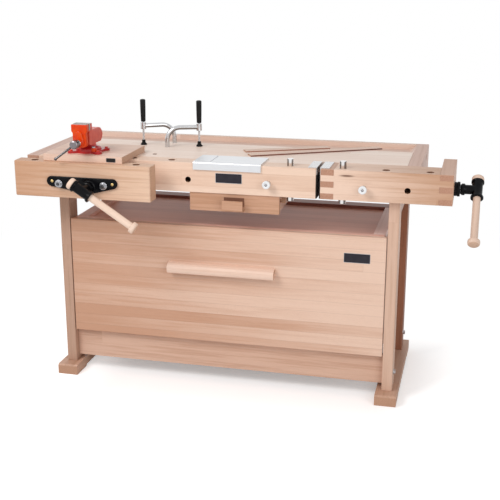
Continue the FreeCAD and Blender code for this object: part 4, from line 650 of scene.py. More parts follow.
class Work:
    """One piece on the bench, shaped with the usual mesh tools until it is finished."""

    def __init__(self, name: str) -> None:
        """Take up the object that a tool has just added, name it and settle it."""
        self.thing = bpy.context.active_object
        self.thing.name = name
        self.thing.data.name = name
        self.settle()

    @classmethod
    def lathe(cls, name: str, profile: Profile, segments: int = 48) -> "Work":
        """Turn a piece about Z, ring by ring.

        Args:
            name: the piece's name.
            profile: the rings as (radius, height); a last ring equal to the first closes a bore.
            segments: faces round the piece.

        Returns:
            The turned piece, closed at both ends.
        """
        clear_hands()
        radius, height = profile[0]
        bpy.ops.mesh.primitive_circle_add(vertices=segments, radius=radius,
                                          location=(0.0, 0.0, height))
        work = cls(name)
        work.edit_all()
        for ring, level in profile[1:]:
            extrude(0.0, 0.0, level - height)
            share = ring / radius
            bpy.ops.transform.resize(value=(share, share, 1.0), center_override=(0.0, 0.0, level))
            radius, height = ring, level
        return work.close()

    @classmethod
    def prism(cls, name: str, outline: Profile, depth: Optional[float] = None) -> "Work":
        """Draw an outline in the XY plane vertex by vertex and raise it along Z.

        Args:
            name: the piece's name.
            outline: the corners in order.
            depth: the height that the face is raised by; without one the outline stays a wire.

        Returns:
            The raised piece, or the wire.
        """
        clear_hands()
        x, y = outline[0]
        bpy.ops.mesh.primitive_plane_add(size=MM, location=(x, y, 0.0))
        work = cls(name)
        work.edit_all()
        bpy.ops.mesh.merge(type="CENTER")
        for across, up in outline[1:]:
            extrude(across - x, up - y, 0.0)
            x, y = across, up
        if depth is None:
            clear_hands()
            return work
        bpy.ops.mesh.select_all(action="SELECT")
        bpy.ops.mesh.edge_face_add()
        extrude(0.0, 0.0, depth)
        return work.close()

    @classmethod
    def block(cls, name: str, low: Point, high: Point) -> "Work":
        """A box between two corners."""
        clear_hands()
        middle = [(a + b) / 2.0 for a, b in zip(low, high)]
        bpy.ops.mesh.primitive_cube_add(size=1.0, location=middle)
        bpy.context.active_object.scale = [b - a for a, b in zip(low, high)]
        return cls(name)

    @classmethod
    def bar(cls, name: str, sides: int, radius: float, height: float) -> "Work":
        """A prism with equal sides that stands on the origin."""
        clear_hands()
        bpy.ops.mesh.primitive_cylinder_add(vertices=sides, radius=radius, depth=height,
                                            location=(0.0, 0.0, height / 2.0))
        return cls(name)

    def hold(self) -> None:
        """Select this piece alone and make it active."""
        clear_hands()
        self.thing.select_set(True)
        bpy.context.view_layer.objects.active = self.thing

    def edit_all(self) -> None:
        """Go into edit mode with every vertex selected."""
        self.hold()
        bpy.ops.object.mode_set(mode="EDIT")
        bpy.ops.mesh.select_mode(type="VERT")
        bpy.ops.mesh.select_all(action="SELECT")

    def close(self) -> "Work":
        """Merge doubles, fill what is open and turn the faces outwards."""
        self.edit_all()
        bpy.ops.mesh.remove_doubles(threshold=0.02 * MM)
        bpy.ops.mesh.fill_holes(sides=0)
        bpy.ops.mesh.select_all(action="SELECT")
        bpy.ops.mesh.normals_make_consistent(inside=False)
        clear_hands()
        return self

    def settle(self) -> None:
        """Move the selected piece's place, turn and size into its mesh."""
        bpy.ops.object.transform_apply(location=True, rotation=True, scale=True)

    def modify(self, kind: str, **settings: Value) -> "Work":
        """Add a modifier with these settings and apply it."""
        self.hold()
        modifier = self.thing.modifiers.new(kind.title(), kind)
        for name, value in settings.items():
            setattr(modifier, name, value)
        bpy.ops.object.modifier_apply(modifier=modifier.name)
        return self

    def soften(self, width: float, segments: int = 2, angle: float = 30.0) -> "Work":
        """Round every edge that is sharper than an angle in degrees."""
        return self.modify("BEVEL", width=width, segments=segments, limit_method="ANGLE",
                           angle_limit=math.radians(angle), use_clamp_overlap=True,
                           harden_normals=False)

    def take(self, other: "Work", operation: str = "DIFFERENCE") -> "Work":
        """Cut another piece out of this one, or keep what the two share, and throw it away.

        The mesh is put in a set order first and last, so that each run gives the same cut.
        """
        self.sort()
        self.modify("BOOLEAN", object=other.thing, operation=operation, solver="EXACT")
        bpy.data.objects.remove(other.thing)
        self.sort()
        return self.close()

    def sort(self) -> None:
        """Order the mesh by its distance from a spot to which no two corners are equally near."""
        self.edit_all()
        bpy.context.scene.cursor.location = ASIDE
        bpy.ops.mesh.sort_elements(type="CURSOR_DISTANCE", elements={"VERT", "EDGE", "FACE"})
        clear_hands()

    def pick(self, wanted: Callable[..., bool], kind: str = "FACE") -> "Work":
        """Select the faces, or the edges, that pass a test and stay in edit mode."""
        self.hold()
        bpy.ops.object.mode_set(mode="EDIT")
        bpy.ops.mesh.select_mode(type=kind)
        bpy.ops.mesh.select_all(action="DESELECT")
        bpy.ops.object.mode_set(mode="OBJECT")
        mesh = self.thing.data
        for element in mesh.polygons if kind == "FACE" else mesh.edges:
            element.select = wanted(element)
        bpy.ops.object.mode_set(mode="EDIT")
        return self

    def put(self, spot: Point, lay: Lay = Stand.UP, roll: float = 0.0) -> "Work":
        """Turn the piece as it stands, and set it down with its place in its mesh.

        Args:
            spot: where its origin goes.
            lay: the direction that its Z is laid along, or the turn that lays it.
            roll: how far it is rolled about its own Z before that, in radians.

        Returns:
            The piece.
        """
        turn = lay.turn() if isinstance(lay, Stand) else lay
        self.thing.matrix_world = (Matrix.Translation(Vector(spot)) @ turn
                                   @ Matrix.Rotation(roll, 4, "Z"))
        self.hold()
        self.settle()
        return self

    def finish(self, body: str, finish: Finish, slot: Optional[str] = None,
               stands_for: Sequence[str] = (), smooth: float = 35.0) -> bpy.types.Object:
        """Dress the piece and hand it over to its body.

        Args:
            body: the CAD body that it moves with.
            finish: its finish.
            slot: a material slot's name, which is not used.
            stands_for: CAD nodes that it replaces.
            smooth: edges flatter than this many degrees are shaded smooth.

        Returns:
            The finished object.
        """
        self.hold()
        bpy.ops.object.shade_smooth_by_angle(angle=math.radians(smooth))
        self.thing.data.materials.clear()
        self.thing.data.materials.append(FINISHES.of(finish))
        clear_hands()
        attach(self.thing, body)
        if stands_for:
            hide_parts(*stands_for)
        LOG.info("%s: %d faces on %s", self.thing.name, len(self.thing.data.polygons), body)
        return self.thing


def turned(name: str, profile: Profile, spot: Point, lay: Lay = Stand.UP,
           segments: int = 48) -> Work:
    """A piece turned to a profile in millimetres and set down at a spot."""
    return Work.lathe(name, mm(profile), segments).put(spot, lay)


def cross_screw(name: str, radius: float, height: float) -> Work:
    """A domed screw head with a cross recess, standing on the origin."""
    head = Work.lathe(name, [(radius, 0.0), (radius, height * 0.35), (radius * 0.82, height * 0.8),
                             (radius * 0.45, height)], 24)
    wide, long = radius * 0.17, radius * 0.62
    for across, up in ((long, wide), (wide, long)):
        head.take(Work.block(name + "_slot", (-across, -up, height * 0.25),
                             (across, up, height * 2)))
    return head


def hex_nut(name: str, across: float, thick: float, stud: float) -> Work:
    """A hexagon nut with chamfered corners and a countersunk bore, standing on the origin."""
    nut = Work.bar(name, 6, across / math.sqrt(3.0), thick)
    flat, corner = across * 0.50, across * 0.60
    shell = Work.lathe(name + "_shell", [
        (flat, 0.0), (corner, thick * 0.16), (corner, thick * 0.84), (flat, thick),
        (stud + thick * 0.08, thick), (stud, thick * 0.9), (stud, 0.0), (flat, 0.0)], 36)
    return nut.take(shell, "INTERSECT")


def set_nut(name: str, body: str, spot: Point, stand: Stand, size: Point, roll: float) -> None:
    """Set a nut and the rounded end of its stud on a spot, the stud a little proud.

    Args:
        name: the nut's name, and the start of the stud's.
        body: the CAD body that both move with.
        spot: the middle of the nut's seat.
        stand: the direction that the stud points in.
        size: the nut's width across its flats, its thickness and the stud's radius, in mm.
        roll: how far the nut is turned on its stud, in radians.
    """
    across, thick, stud = size
    nut = hex_nut(name, across * MM, thick * MM, stud * MM)
    nut.put(spot, stand, roll).finish(body, NUT_STEEL, "zinc_steel")
    turned(name + "_stud", [
        (stud - 0.05, 0.2), (stud - 0.05, thick * 1.05), (stud * 0.8, thick * 1.2),
        (stud * 0.3, thick * 1.24)], spot, stand, 20).finish(body, STUD_STEEL, "zinc_steel")


def ring_of(name: str, inner: float, outer: float, thick: float) -> Work:
    """A flat washer or collar with softened edges, standing on the origin."""
    soft = thick * 0.2
    return Work.lathe(name, [(inner, 0.0), (outer - soft, 0.0), (outer, soft),
                             (outer, thick - soft), (outer - soft, thick), (inner, thick),
                             (inner, 0.0)], 36)


def thread(name: str, radius: float, pitch: float, turns: int, steps: int = 18) -> Work:
    """A screw thread that winds up from the origin, made by the screw modifier."""
    root = radius - pitch * 0.45
    wire = Work.prism(name, [(root, 0.0), (radius, pitch * 0.4), (radius, pitch * 0.6),
                             (root, pitch)]).put(ORIGIN, Stand.FRONT)
    return wire.modify("SCREW", axis="Z", angle=2.0 * math.pi, screw_offset=pitch,
                       iterations=turns, steps=steps, render_steps=steps,
                       use_merge_vertices=True, merge_threshold=0.01 * MM).close()


def paint(node: str, *finishes: Finish) -> bpy.types.Mesh:
    """Lay finishes on a CAD node in order, the first all over, and return its mesh."""
    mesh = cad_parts[node].data
    mesh.materials.clear()
    for finish in finishes:
        mesh.materials.append(FINISHES.of(finish))
    return mesh


def dress(**finishes: Finish) -> None:
    """Give each CAD node that is named its finish."""
    for node, finish in finishes.items():
        paint(node, finish)


def dress_by_face(node: str, finishes: Sequence[Finish],
                  choose: Callable[[bpy.types.MeshPolygon], int]) -> None:
    """Give each face of a CAD node the finish that a chooser numbers."""
    for face in paint(node, *finishes).polygons:
        face.material_index = choose(face)


def dress_by_place(node: str, finish: Finish, other: Finish,
                   test: Callable[[Vector], bool]) -> None:
    """Give a CAD node one finish, and another to the faces whose middle passes a test."""
    dress_by_face(node, (finish, other), lambda face: int(test(face.center)))


def dress_with_bores(node: str, finish: Finish, reach: float = 10.0,
                     margin: float = 35.0 * MM) -> None:
    """Give a bored board its timber, and the walls of its bores a darker one as painted shade.

    Args:
        node: the CAD node.
        finish: the board's timber.
        reach: bores further right than this, in metres, stay as they are.
        margin: what is nearer to either end of the board than this is no bore.
    """
    low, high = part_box(node)

    def choose(face: bpy.types.MeshPolygon) -> int:
        """1 for an upright bore and 2 for one that runs back, both painted in shade, 0 for the
        outside.
        """
        spot = face.center
        inside = all(low[i] + MM < spot[i] < high[i] - MM for i in range(3))
        if not inside or spot.x > reach or min(spot.x - low.x, high.x - spot.x) < margin:
            return 0
        return 1 if abs(face.normal.z) < 0.02 else 2

    dress_by_face(node, (finish, BORE_PAINTED_SHADE, BORE_DEEP_PAINTED_SHADE), choose)


def ease_edges(width: float, *nodes: str) -> None:
    """Round the sharp edges of CAD nodes as they are drawn, with their meshes as they were."""
    for node in nodes:
        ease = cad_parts[node].modifiers.new("Eased", "BEVEL")
        ease.width, ease.segments, ease.limit_method = width, 2, "ANGLE"
        ease.angle_limit = math.radians(50.0)
        ease.use_clamp_overlap = True


@dataclass(frozen=True)
class Plate:
    """A bare plate on a front face: rounded corners, a bright rim and a sunk field, in metres."""

    name: str
    body: str
    field: Coating = PLATE_NAVY
    rim: Metal = ZINC
    thick: float = 1.2 * MM
    corner: float = 2.5 * MM
    border: float = 1.0 * MM
    ledge: float = 0.15 * MM
    sunk: float = 0.25 * MM

    def on_front(self, node: str, left: float, wide: float, low: float, high: float) -> None:
        """Model the plate on the front of a CAD node, between these bounds in metres."""
        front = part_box(node)[0].y
        self.build((left, front - self.thick, low), (left + wide, front, high))

    def build(self, low: Point, high: Point) -> None:
        """Model the plate between two corners, its back on the higher one's y."""
        wide, thick, tall = (b - a for a, b in zip(low, high))
        plate = Work.block(self.name, (-wide / 2, -tall / 2, 0.0), (wide / 2, tall / 2, thick))

        def upright(edge: bpy.types.MeshEdge) -> bool:
            """Whether an edge runs through the plate's thickness."""
            a, b = (plate.thing.data.vertices[i].co for i in edge.vertices)
            return abs(a.z - b.z) > thick * 0.5

        plate.pick(upright, "EDGE")
        bpy.ops.mesh.bevel(offset=self.corner, segments=5, affect="EDGES")
        plate.pick(faces_up)
        bpy.ops.mesh.inset(thickness=self.border)
        bpy.ops.mesh.inset(thickness=self.ledge, depth=-self.sunk)
        clear_hands()
        inner = [face.index for face in plate.thing.data.polygons
                 if faces_up(face) and face.center.z < thick - 0.1 * MM]
        middle = ((low[0] + high[0]) / 2, high[1], (low[2] + high[2]) / 2)
        thing = plate.put(middle, Stand.FRONT).finish(self.body, self.rim, smooth=20.0)
        thing.data.materials.append(FINISHES.of(self.field))
        for index in inner:
            thing.data.polygons[index].material_index = 1


@dataclass(frozen=True)
class ViseScrew:
    """A vise's screw: a sleeve across a ringed neck, its threaded shaft and its handle.

    Attributes:
        side: the start of the names of its bodies, nodes and pieces.
        hub: the middle of the sleeve.
        along: the direction of the screw, towards its nut.
        lean: the turn that lays Z along the sleeve and the handle.
        keeper: how far behind the hub the keeper collar starts, in millimetres, as are the rest.
        reach: how far the thread goes beyond the collar.
        timber: the handle's finish.
        sleeve: half the sleeve's length.
        half: half the handle's length over its knobs.
        knob: how far a knob's shoulder is from its end.
        play: the gap between that shoulder and the sleeve when the handle hangs down.
        radius: the thread's radius.
        pitch: the thread's pitch.
    """

    side: str
    hub: Point
    along: Stand
    lean: Matrix
    keeper: float
    reach: float
    timber: Timber
    sleeve: float = 38.5
    half: float = 150.0
    knob: float = 20.0
    play: float = 0.3
    radius: float = 14.0
    pitch: float = 6.0

    def build(self) -> None:
        """Model the screw from its head to the handle."""
        self.build_head()
        self.build_shaft()
        self.build_handle()

    def build_head(self) -> None:
        """Model the black sleeve and the neck, hollowed where the sleeve crosses it."""
        name, body = self.side + "_screw_head", self.side + "_screw"
        half = self.sleeve
        side = [(13.9, half - 1.6), (15.6, half), (21.6, half), (23.0, half - 1.4),
                (23.0, half - 7.2), (21.8, half - 9.0), (19.2, half - 10.6), (18.5, half - 13.0)]
        profile = side + [(r, -h) for r, h in reversed(side)] + [side[0]]
        turned(name + "_sleeve", profile, self.hub, self.lean, 56).finish(
            body, BLACK_CASTING, "black_casting", smooth=40.0)
        neck = turned(name + "_neck", [
            (17.2, 3.0), (17.0, 22.0), (17.0, 40.0), (17.6, 43.0), (20.6, 44.5), (21.2, 46.0),
            (21.2, 54.5), (20.4, 56.0), (18.0, 56.4), (17.6, 60.2)], self.hub, self.along, 56)
        cutter = Work.bar(name + "_cutter", 40, 16.4 * MM, 120.0 * MM)
        neck.take(cutter.put((0.0, 0.0, -60.0 * MM)).put(self.hub, self.lean))
        neck.finish(body, BLACK_CASTING, "black_casting", [body], smooth=40.0)

    def build_shaft(self) -> None:
        """Model the bright shaft with its keeper collar, and the thread behind the collar."""
        name, body, keeper = self.side + "_screw_head", self.side + "_screw", self.keeper
        end = keeper + self.reach
        turned(name + "_shaft", [
            (13.9, 58.0), (13.9, keeper), (19.5, keeper), (20.0, keeper + 0.6),
            (20.0, keeper + 7.4), (19.5, keeper + 8.0), (11.6, keeper + 8.5),
            (11.6, end + 4.0), (10.0, end + 7.6)], self.hub, self.along, 36).finish(
                body, GUIDE_STEEL, "black_casting")
        wind = thread(name + "_thread", self.radius * MM, self.pitch * MM,
                      int((self.reach - 8.0) / self.pitch))
        wind.put((0.0, 0.0, (keeper + 9.0) * MM)).put(self.hub, self.along)
        wind.finish(body, GUIDE_STEEL, "black_casting")

    def build_handle(self) -> None:
        """Model the smooth wooden handle with a knob at either end, slid down its sleeve."""
        knob = [(7.0, 0.0), (14.0, 0.5), (18.5, 2.0), (21.2, 4.8), (22.0, 8.5), (22.0, 15.0),
                (21.4, 18.2), (19.6, 19.8), (17.5, 20.0), (14.6, 20.4), (13.5, 22.5)]
        profile = ([(r, h - self.half) for r, h in knob]
                   + [(r, self.half - h) for r, h in reversed(knob)])
        slid = self.half - self.knob - self.sleeve - self.play
        away = self.lean @ Vector((0.0, 0.0, 1.0))
        body = self.side + "_handle"
        turned(body + "_bar", profile, tuple(Vector(self.hub) - away * slid * MM), self.lean,
               56).finish(body, self.timber, "handle_beech", [body], smooth=50.0)


# ------------------------------------------------------------------ sub-assemblies


class SubAssembly:
    """Some pieces of the bench that are dressed and modelled together."""

    def dress(self) -> None:
        """Give the CAD nodes their finishes."""

    def build(self) -> None:
        """Model the pieces that the CAD frame doesn't have."""


@dataclass
class Worktop(SubAssembly):
    """The fixed top: apron, panel, tray, caps and the fixed jaw, in metres."""

    plate_left: float = -0.1085
    plate_wide: float = 0.101
    plate_low: float = 0.829
    plate_high: float = 0.866
    recess: float = 0.2

    def dress(self) -> None:
        """Give the boards their timber and the jaw its steel."""
        dress(tool_tray=TRAY_PAINTED_SHADE, rear_rim_board=RIM, left_end_cap=CAP, right_end_cap=CAP,
              top_battens=SLED, beam_jaw_plate=BRIGHT_STEEL, beam_jaw_lining=LINING,
              vise_nuts=BLACK_CASTING)
        dress_with_bores("front_apron", APRON)
        dress_with_bores("worktop_panel", TOP, self.recess)
        ease_edges(EASED, "front_apron", "left_end_cap", "right_end_cap", "rear_rim_board",
                   "beam_jaw_plate")

    def build(self) -> None:
        """Add the bare plate on the apron."""
        Plate("apron_plate", "bench").on_front("front_apron", self.plate_left, self.plate_wide,
                                               self.plate_low, self.plate_high)


@dataclass
class Trestles(SubAssembly):
    """The two sleds with their legs, bearers, rails and bolts, in metres."""

    vise_bolts: float = 0.8

    def dress(self) -> None:
        """Give the pieces their timber, with painted light and shade on the legs and the rails'
        tops, and the bolts their plating, or the metal vise's red.
        """
        # Painted light and shade: darker and lighter copies of one beech on the left and right
        # legs, a dark one on their rear halves.
        for node, finish in (("left_legs", LEG_LEFT_PAINTED_SHADE), ("right_legs", LEG_RIGHT_PAINTED_LIGHT)):
            dress_by_place(node, finish, LEG_REAR_PAINTED_SHADE, lambda p, y=centre(node).y: p.y > y)
        dress(trestle_feet=SLED, trestle_bearers=SLED)
        # Painted shade: the rails' top faces in dark beech, the dark line in the gap under the
        # drawer.
        dress_by_face("lower_rails", (RAIL, BEECH_PAINTED_SHADE), lambda face: int(faces_up(face)))
        dress_by_place("hex_bolts", ZINC, RED_SHADE, lambda p: p.z > self.vise_bolts)
        ease_edges(EASED, "lower_rails", "trestle_feet", "left_legs", "right_legs")


@dataclass
class Chest(SubAssembly):
    """The chest with its framed lid, deep drawer, grip and bare plate, and the till; in metres."""

    plate_left: float = 0.372
    plate_wide: float = 0.099
    plate_low: float = 0.543
    plate_high: float = 0.580
    board: float = 0.022
    drawer_side: float = 0.016
    till_side: float = 0.012
    lip: float = 0.0075
    till_face: float = 0.020

    def dress(self) -> None:
        """Give the chest its boards, long ones and cross ones."""
        self.dress_lid()
        for node, outer, side, slack in (
                ("chest_carcass", "chest_top_frame", self.board, MM),
                ("chest_drawer_box", "chest_drawer_box", self.drawer_side, 0.0),
                ("till_box", "till_box", self.till_side, 0.0)):
            low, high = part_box(outer)
            left, right = low.x + side + slack, high.x - side - slack
            dress_by_place(node, CHEST_X, CHEST_SIDE,
                           lambda p, a=left, b=right: p.x < a or p.x > b)
        dress(chest_drawer_front=DRAWER, chest_drawer_grip=GRIP, drawer_runners=CHEST_SIDE)
        self.dress_till_front()
        ease_edges(EASED, "chest_drawer_front", "till_front")

    def dress_lid(self) -> None:
        """Give the lid's panel and each of its frame boards their own beech, lit and shaded copies
        of one: the rear board painted in shade, the right board painted light.
        """
        low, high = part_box("chest_top_panel")

        def choose(face: bpy.types.MeshPolygon) -> int:
            """0 for the front board, 1 for the left one, 2 for the rear and 3 for the right."""
            spot = face.center
            if spot.y > high.y - 2.0 * MM:
                return 2
            if spot.y < low.y - MM:
                return 0
            if spot.x > high.x - MM:
                return 3
            return 1 if spot.x < low.x + MM else 0

        dress_by_face("chest_top_frame", (LID_X, LID_Y, LID_REAR_PAINTED_SHADE, LID_RIGHT_PAINTED_LIGHT), choose)
        dress(chest_top_panel=LID_X)

    def dress_till_front(self) -> None:
        """Give the till's front its timber, and the groove and ends of its pull a dark one as
        painted shade.
        """
        low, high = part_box("till_front")
        back = high.y - self.till_face

        def choose(face: bpy.types.MeshPolygon) -> int:
            """1 for the groove behind the pull's lip and for the pull's ends, which are painted in
            shade.
            """
            spot, normal = face.center, face.normal
            groove = (low.y + self.lip < spot.y < back - 0.2 * MM
                      and low.x + MM < spot.x < high.x - MM and normal.z > -0.5)
            return int(groove or abs(normal.x) > 0.9 and spot.y < back - MM)

        dress_by_face("till_front", (TILL, BEECH_PAINTED_SHADE), choose)

    def build(self) -> None:
        """Add the bare plate on the drawer."""
        Plate("drawer_plate", "chest_drawer").on_front(
            "chest_drawer_front", self.plate_left, self.plate_wide, self.plate_low,
            self.plate_high)


@dataclass
class FaceVise(SubAssembly):
    """The face vise's jaw, casting, rods, screw and handle.

    Lengths are in metres, but the screw's keeper and reach, the washers' radii and thickness,
    and the nuts' width, thickness and stud are in millimetres, and the handle's tilt in degrees.
    """

    ring: float = 0.023
    cap: float = 0.012
    thick: float = 0.008
    end: float = 0.019
    belly: float = 0.027
    tilt: float = 33.0
    keeper: float = 137.0
    reach: float = 235.0
    washer: Point = (9.0, 14.5, 1.8)
    nut: Point = (22.0, 8.2, 5.6)

    def dress(self) -> None:
        """Give the jaw its timber and the castings their enamel."""
        dress_with_bores("face_jaw", JAW)
        dress(face_vise_flange=BLACK_CASTING, face_guide_rods=GUIDE_STEEL,
              face_screw=BLACK_CASTING, face_handle=TURNED_SLANT)
        ease_edges(EASED, "face_jaw")

    def build(self) -> None:
        """Model the flange with its nuts and screws, the screw's head and the handle."""
        low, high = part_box("face_screw")
        hub = ((low.x + high.x) / 2.0, low.y + self.ring, (low.z + high.z) / 2.0)
        self.build_flange(hub)
        lean = Matrix.Rotation(math.radians(-90.0 + self.tilt), 4, "Y")
        ViseScrew("face", hub, Stand.BACK, lean, self.keeper, self.reach, TURNED_SLANT).build()

    def build_flange(self, hub: Point) -> None:
        """Model the belt-shaped casting round a hub, its boss, washers, nuts and screws."""
        body, jaw_front = "face_jaw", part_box("face_jaw")[0].y
        front = jaw_front - self.thick
        low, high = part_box("face_vise_flange")
        end_z = high.z - self.end
        flange = Work.prism("face_flange", hull([
            (low.x + self.end, end_z, self.end), (hub[0], hub[2], self.belly),
            (high.x - self.end, end_z, self.end)]), self.thick)
        flange.soften(2.6 * MM, 3, 50.0).put((0.0, jaw_front, 0.0), Stand.FRONT)
        flange.finish(body, BLACK_CASTING, "black_casting", ["face_vise_flange"], smooth=45.0)
        turned("face_flange_boss", [
            (15.0, -1.0), (26.8, -1.0), (26.8, 2.2), (25.6, 4.2), (23.6, 5.2), (22.8, 6.0),
            (15.0, 6.0), (15.0, -1.0)], (hub[0], front, hub[2]), Stand.FRONT).finish(
                body, BLACK_CASTING, "black_casting", smooth=40.0)
        rod_low, rod_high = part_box("face_guide_rods")
        rod_z = (rod_low.z + rod_high.z) / 2.0
        for index, x in enumerate((rod_low.x + self.cap, rod_high.x - self.cap)):
            washer = ring_of("face_washer_%d" % index, *(size * MM for size in self.washer))
            washer.put((x, front, rod_z), Stand.FRONT).finish(body, ZINC, "zinc_steel")
            set_nut("face_nut_%d" % index, body, (x, front - 1.7 * MM, rod_z), Stand.FRONT,
                    self.nut, 0.3 + index * 0.5)
        for index, (x, z) in enumerate(((low.x + 22.0 * MM, end_z + 1.0 * MM),
                                        (high.x - 19.0 * MM, end_z - 1.0 * MM))):
            screw = cross_screw("face_flange_screw_%d" % index, 5.6 * MM, 2.4 * MM)
            screw.put((x, front + 0.4 * MM, z), Stand.FRONT, 0.5 + index * 0.4)
            screw.finish(body, BRASS, "zinc_steel")


@dataclass
class TailVise(SubAssembly):
    """The tail vise's hollow block, its screw, guide rod and handle.

    The ring is in metres, keeper and reach are in millimetres and the tilt is in degrees.
    """

    ring: float = 0.023
    tilt: float = 50.0
    keeper: float = 131.0
    reach: float = 281.0

    def dress(self) -> None:
        """Give the block its timber and the rest its metal."""
        dress(tail_jaw_end=FINGER, tail_cheek=FINGER, tail_jaw_plate=BRIGHT_STEEL,
              tail_jaw_lining=LINING, tail_vise_boss=BLACK_CASTING, tail_guide_rod=GUIDE_STEEL,
              tail_screw=BLACK_CASTING, tail_handle=TURNED_UP)
        for node in ("tail_front_board", "tail_top_board"):
            dress_with_bores(node, TAIL)
        ease_edges(EASED, "tail_jaw_plate", "tail_front_board")

    def build(self) -> None:
        """Model the boss, the screw's head and the handle."""
        low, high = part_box("tail_screw")
        hub = (high.x - self.ring, (low.y + high.y) / 2.0, (low.z + high.z) / 2.0)
        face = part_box("tail_vise_boss")[0].x
        turned("tail_boss", [
            (15.0, 0.0), (25.6, 0.0), (25.6, 8.6), (24.8, 9.4), (24.8, 10.4), (26.0, 11.0),
            (27.0, 12.0), (27.0, 19.4), (25.6, 20.8), (15.0, 20.8), (15.0, 0.0)],
            (face, hub[1], hub[2]), Stand.RIGHT, 56).finish(
                "tail_vise", BLACK_CASTING, "black_casting", ["tail_vise_boss"], smooth=40.0)
        lean = Matrix.Rotation(math.radians(-self.tilt), 4, "X")
        ViseScrew("tail", hub, Stand.LEFT, lean, self.keeper, self.reach, TURNED_TAIL).build()


@dataclass
class DogsAndPegs(SubAssembly):
    """The two bench dogs and the two white side pegs; all but the knob in millimetres."""

    knob: float = 0.020
    dog: float = 13.6
    flat: float = 10.6
    ribs: int = 5
    rib_step: float = 4.2

    def dress(self) -> None:
        """Give the dogs their steel and the pegs their white knobs."""
        dress(beam_dog=DOG_STEEL, tail_dog=DOG_STEEL, beam_side_peg=WHITE_KNOB,
              tail_side_peg=WHITE_KNOB)

    def build(self) -> None:
        """Model the dogs and the pegs."""
        for node, face in (("beam_dog", 1.0), ("tail_dog", -1.0)):
            self.build_dog(node, face)
        for node in ("beam_side_peg", "tail_side_peg"):
            self.build_peg(node)

    def build_dog(self, node: str, face: float) -> None:
        """Model a dog: a turned bar with a milled, ribbed face and a spring in its side.

        Args:
            node: the CAD node, which is also its body.
            face: 1 where the ribbed face looks right, -1 where it looks left.
        """
        low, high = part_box(node)
        tall = (high.z - low.z) / MM
        dog = Work.lathe(node + "_bar", mm([
            (self.dog - 1.2, 0.0), (self.dog, 1.2), (self.dog, tall - 30.0),
            (self.dog - 0.5, tall - 29.0), (self.dog - 0.5, tall - 27.6),
            (self.dog, tall - 26.6), (self.dog, tall - 1.5), (self.dog - 1.5, tall)]))
        dog.take(Work.block(node + "_flat", (face * self.flat * MM, -0.02, (tall - 24.0) * MM),
                            (face * 20.0 * MM, 0.02, (tall + 2.0) * MM)).close())
        for rib in range(self.ribs):
            up = tall - 20.5 + rib * self.rib_step
            groove = Work.bar("%s_groove_%d" % (node, rib), 3, 0.8 * MM, 40.0 * MM)
            dog.take(groove.put((face * self.flat * MM, -20.0 * MM, up * MM), Stand.BACK,
                                math.pi / 2 * face))
        middle = centre(node)
        dog.put((middle.x, middle.y, low.z))
        dog.finish(node, DOG_STEEL, stands_for=[node], smooth=30.0)
        spring = Work.block(node + "_spring", (-3.0 * MM, 0.0, 0.0),
                            (3.0 * MM, 0.7 * MM, 62.0 * MM)).soften(0.25 * MM)
        spring.put((middle.x, middle.y + (self.dog - 0.55) * MM, low.z + 40.0 * MM))
        spring.finish(node, BRIGHT_STEEL)

    def build_peg(self, node: str) -> None:
        """Model a side peg: a white knob with its screw, on a steel shank."""
        low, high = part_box(node)
        x, y, z = (low.x + high.x) / 2.0, low.y + self.knob, (low.z + high.z) / 2.0
        turned(node + "_knob", [
            (10.6, 0.0), (11.6, 1.0), (12.4, 4.0), (14.2, 6.0), (15.0, 7.4), (15.0, 16.8),
            (14.3, 18.8), (12.6, 19.8), (8.0, 20.0), (7.2, 19.2), (5.4, 18.4)],
            (x, y, z), Stand.FRONT).finish(node, WHITE_KNOB, "white_knob", [node], smooth=50.0)
        screw = cross_screw(node + "_screw", 5.0 * MM, 1.8 * MM)
        screw.put((x, y - 17.9 * MM, z), Stand.FRONT, 0.35)
        screw.finish(node, TOOL_STEEL, "white_knob")
        reach = (high.y - y) / MM
        turned(node + "_shank", [
            (10.2, -0.6), (10.7, 0.0), (10.7, reach * 0.55), (10.2, reach * 0.57),
            (10.2, reach * 0.61), (10.7, reach * 0.63), (10.7, reach - 1.5), (9.4, reach)],
            (x, y, z), Stand.BACK, 36).finish(node, GUIDE_STEEL, "white_knob")


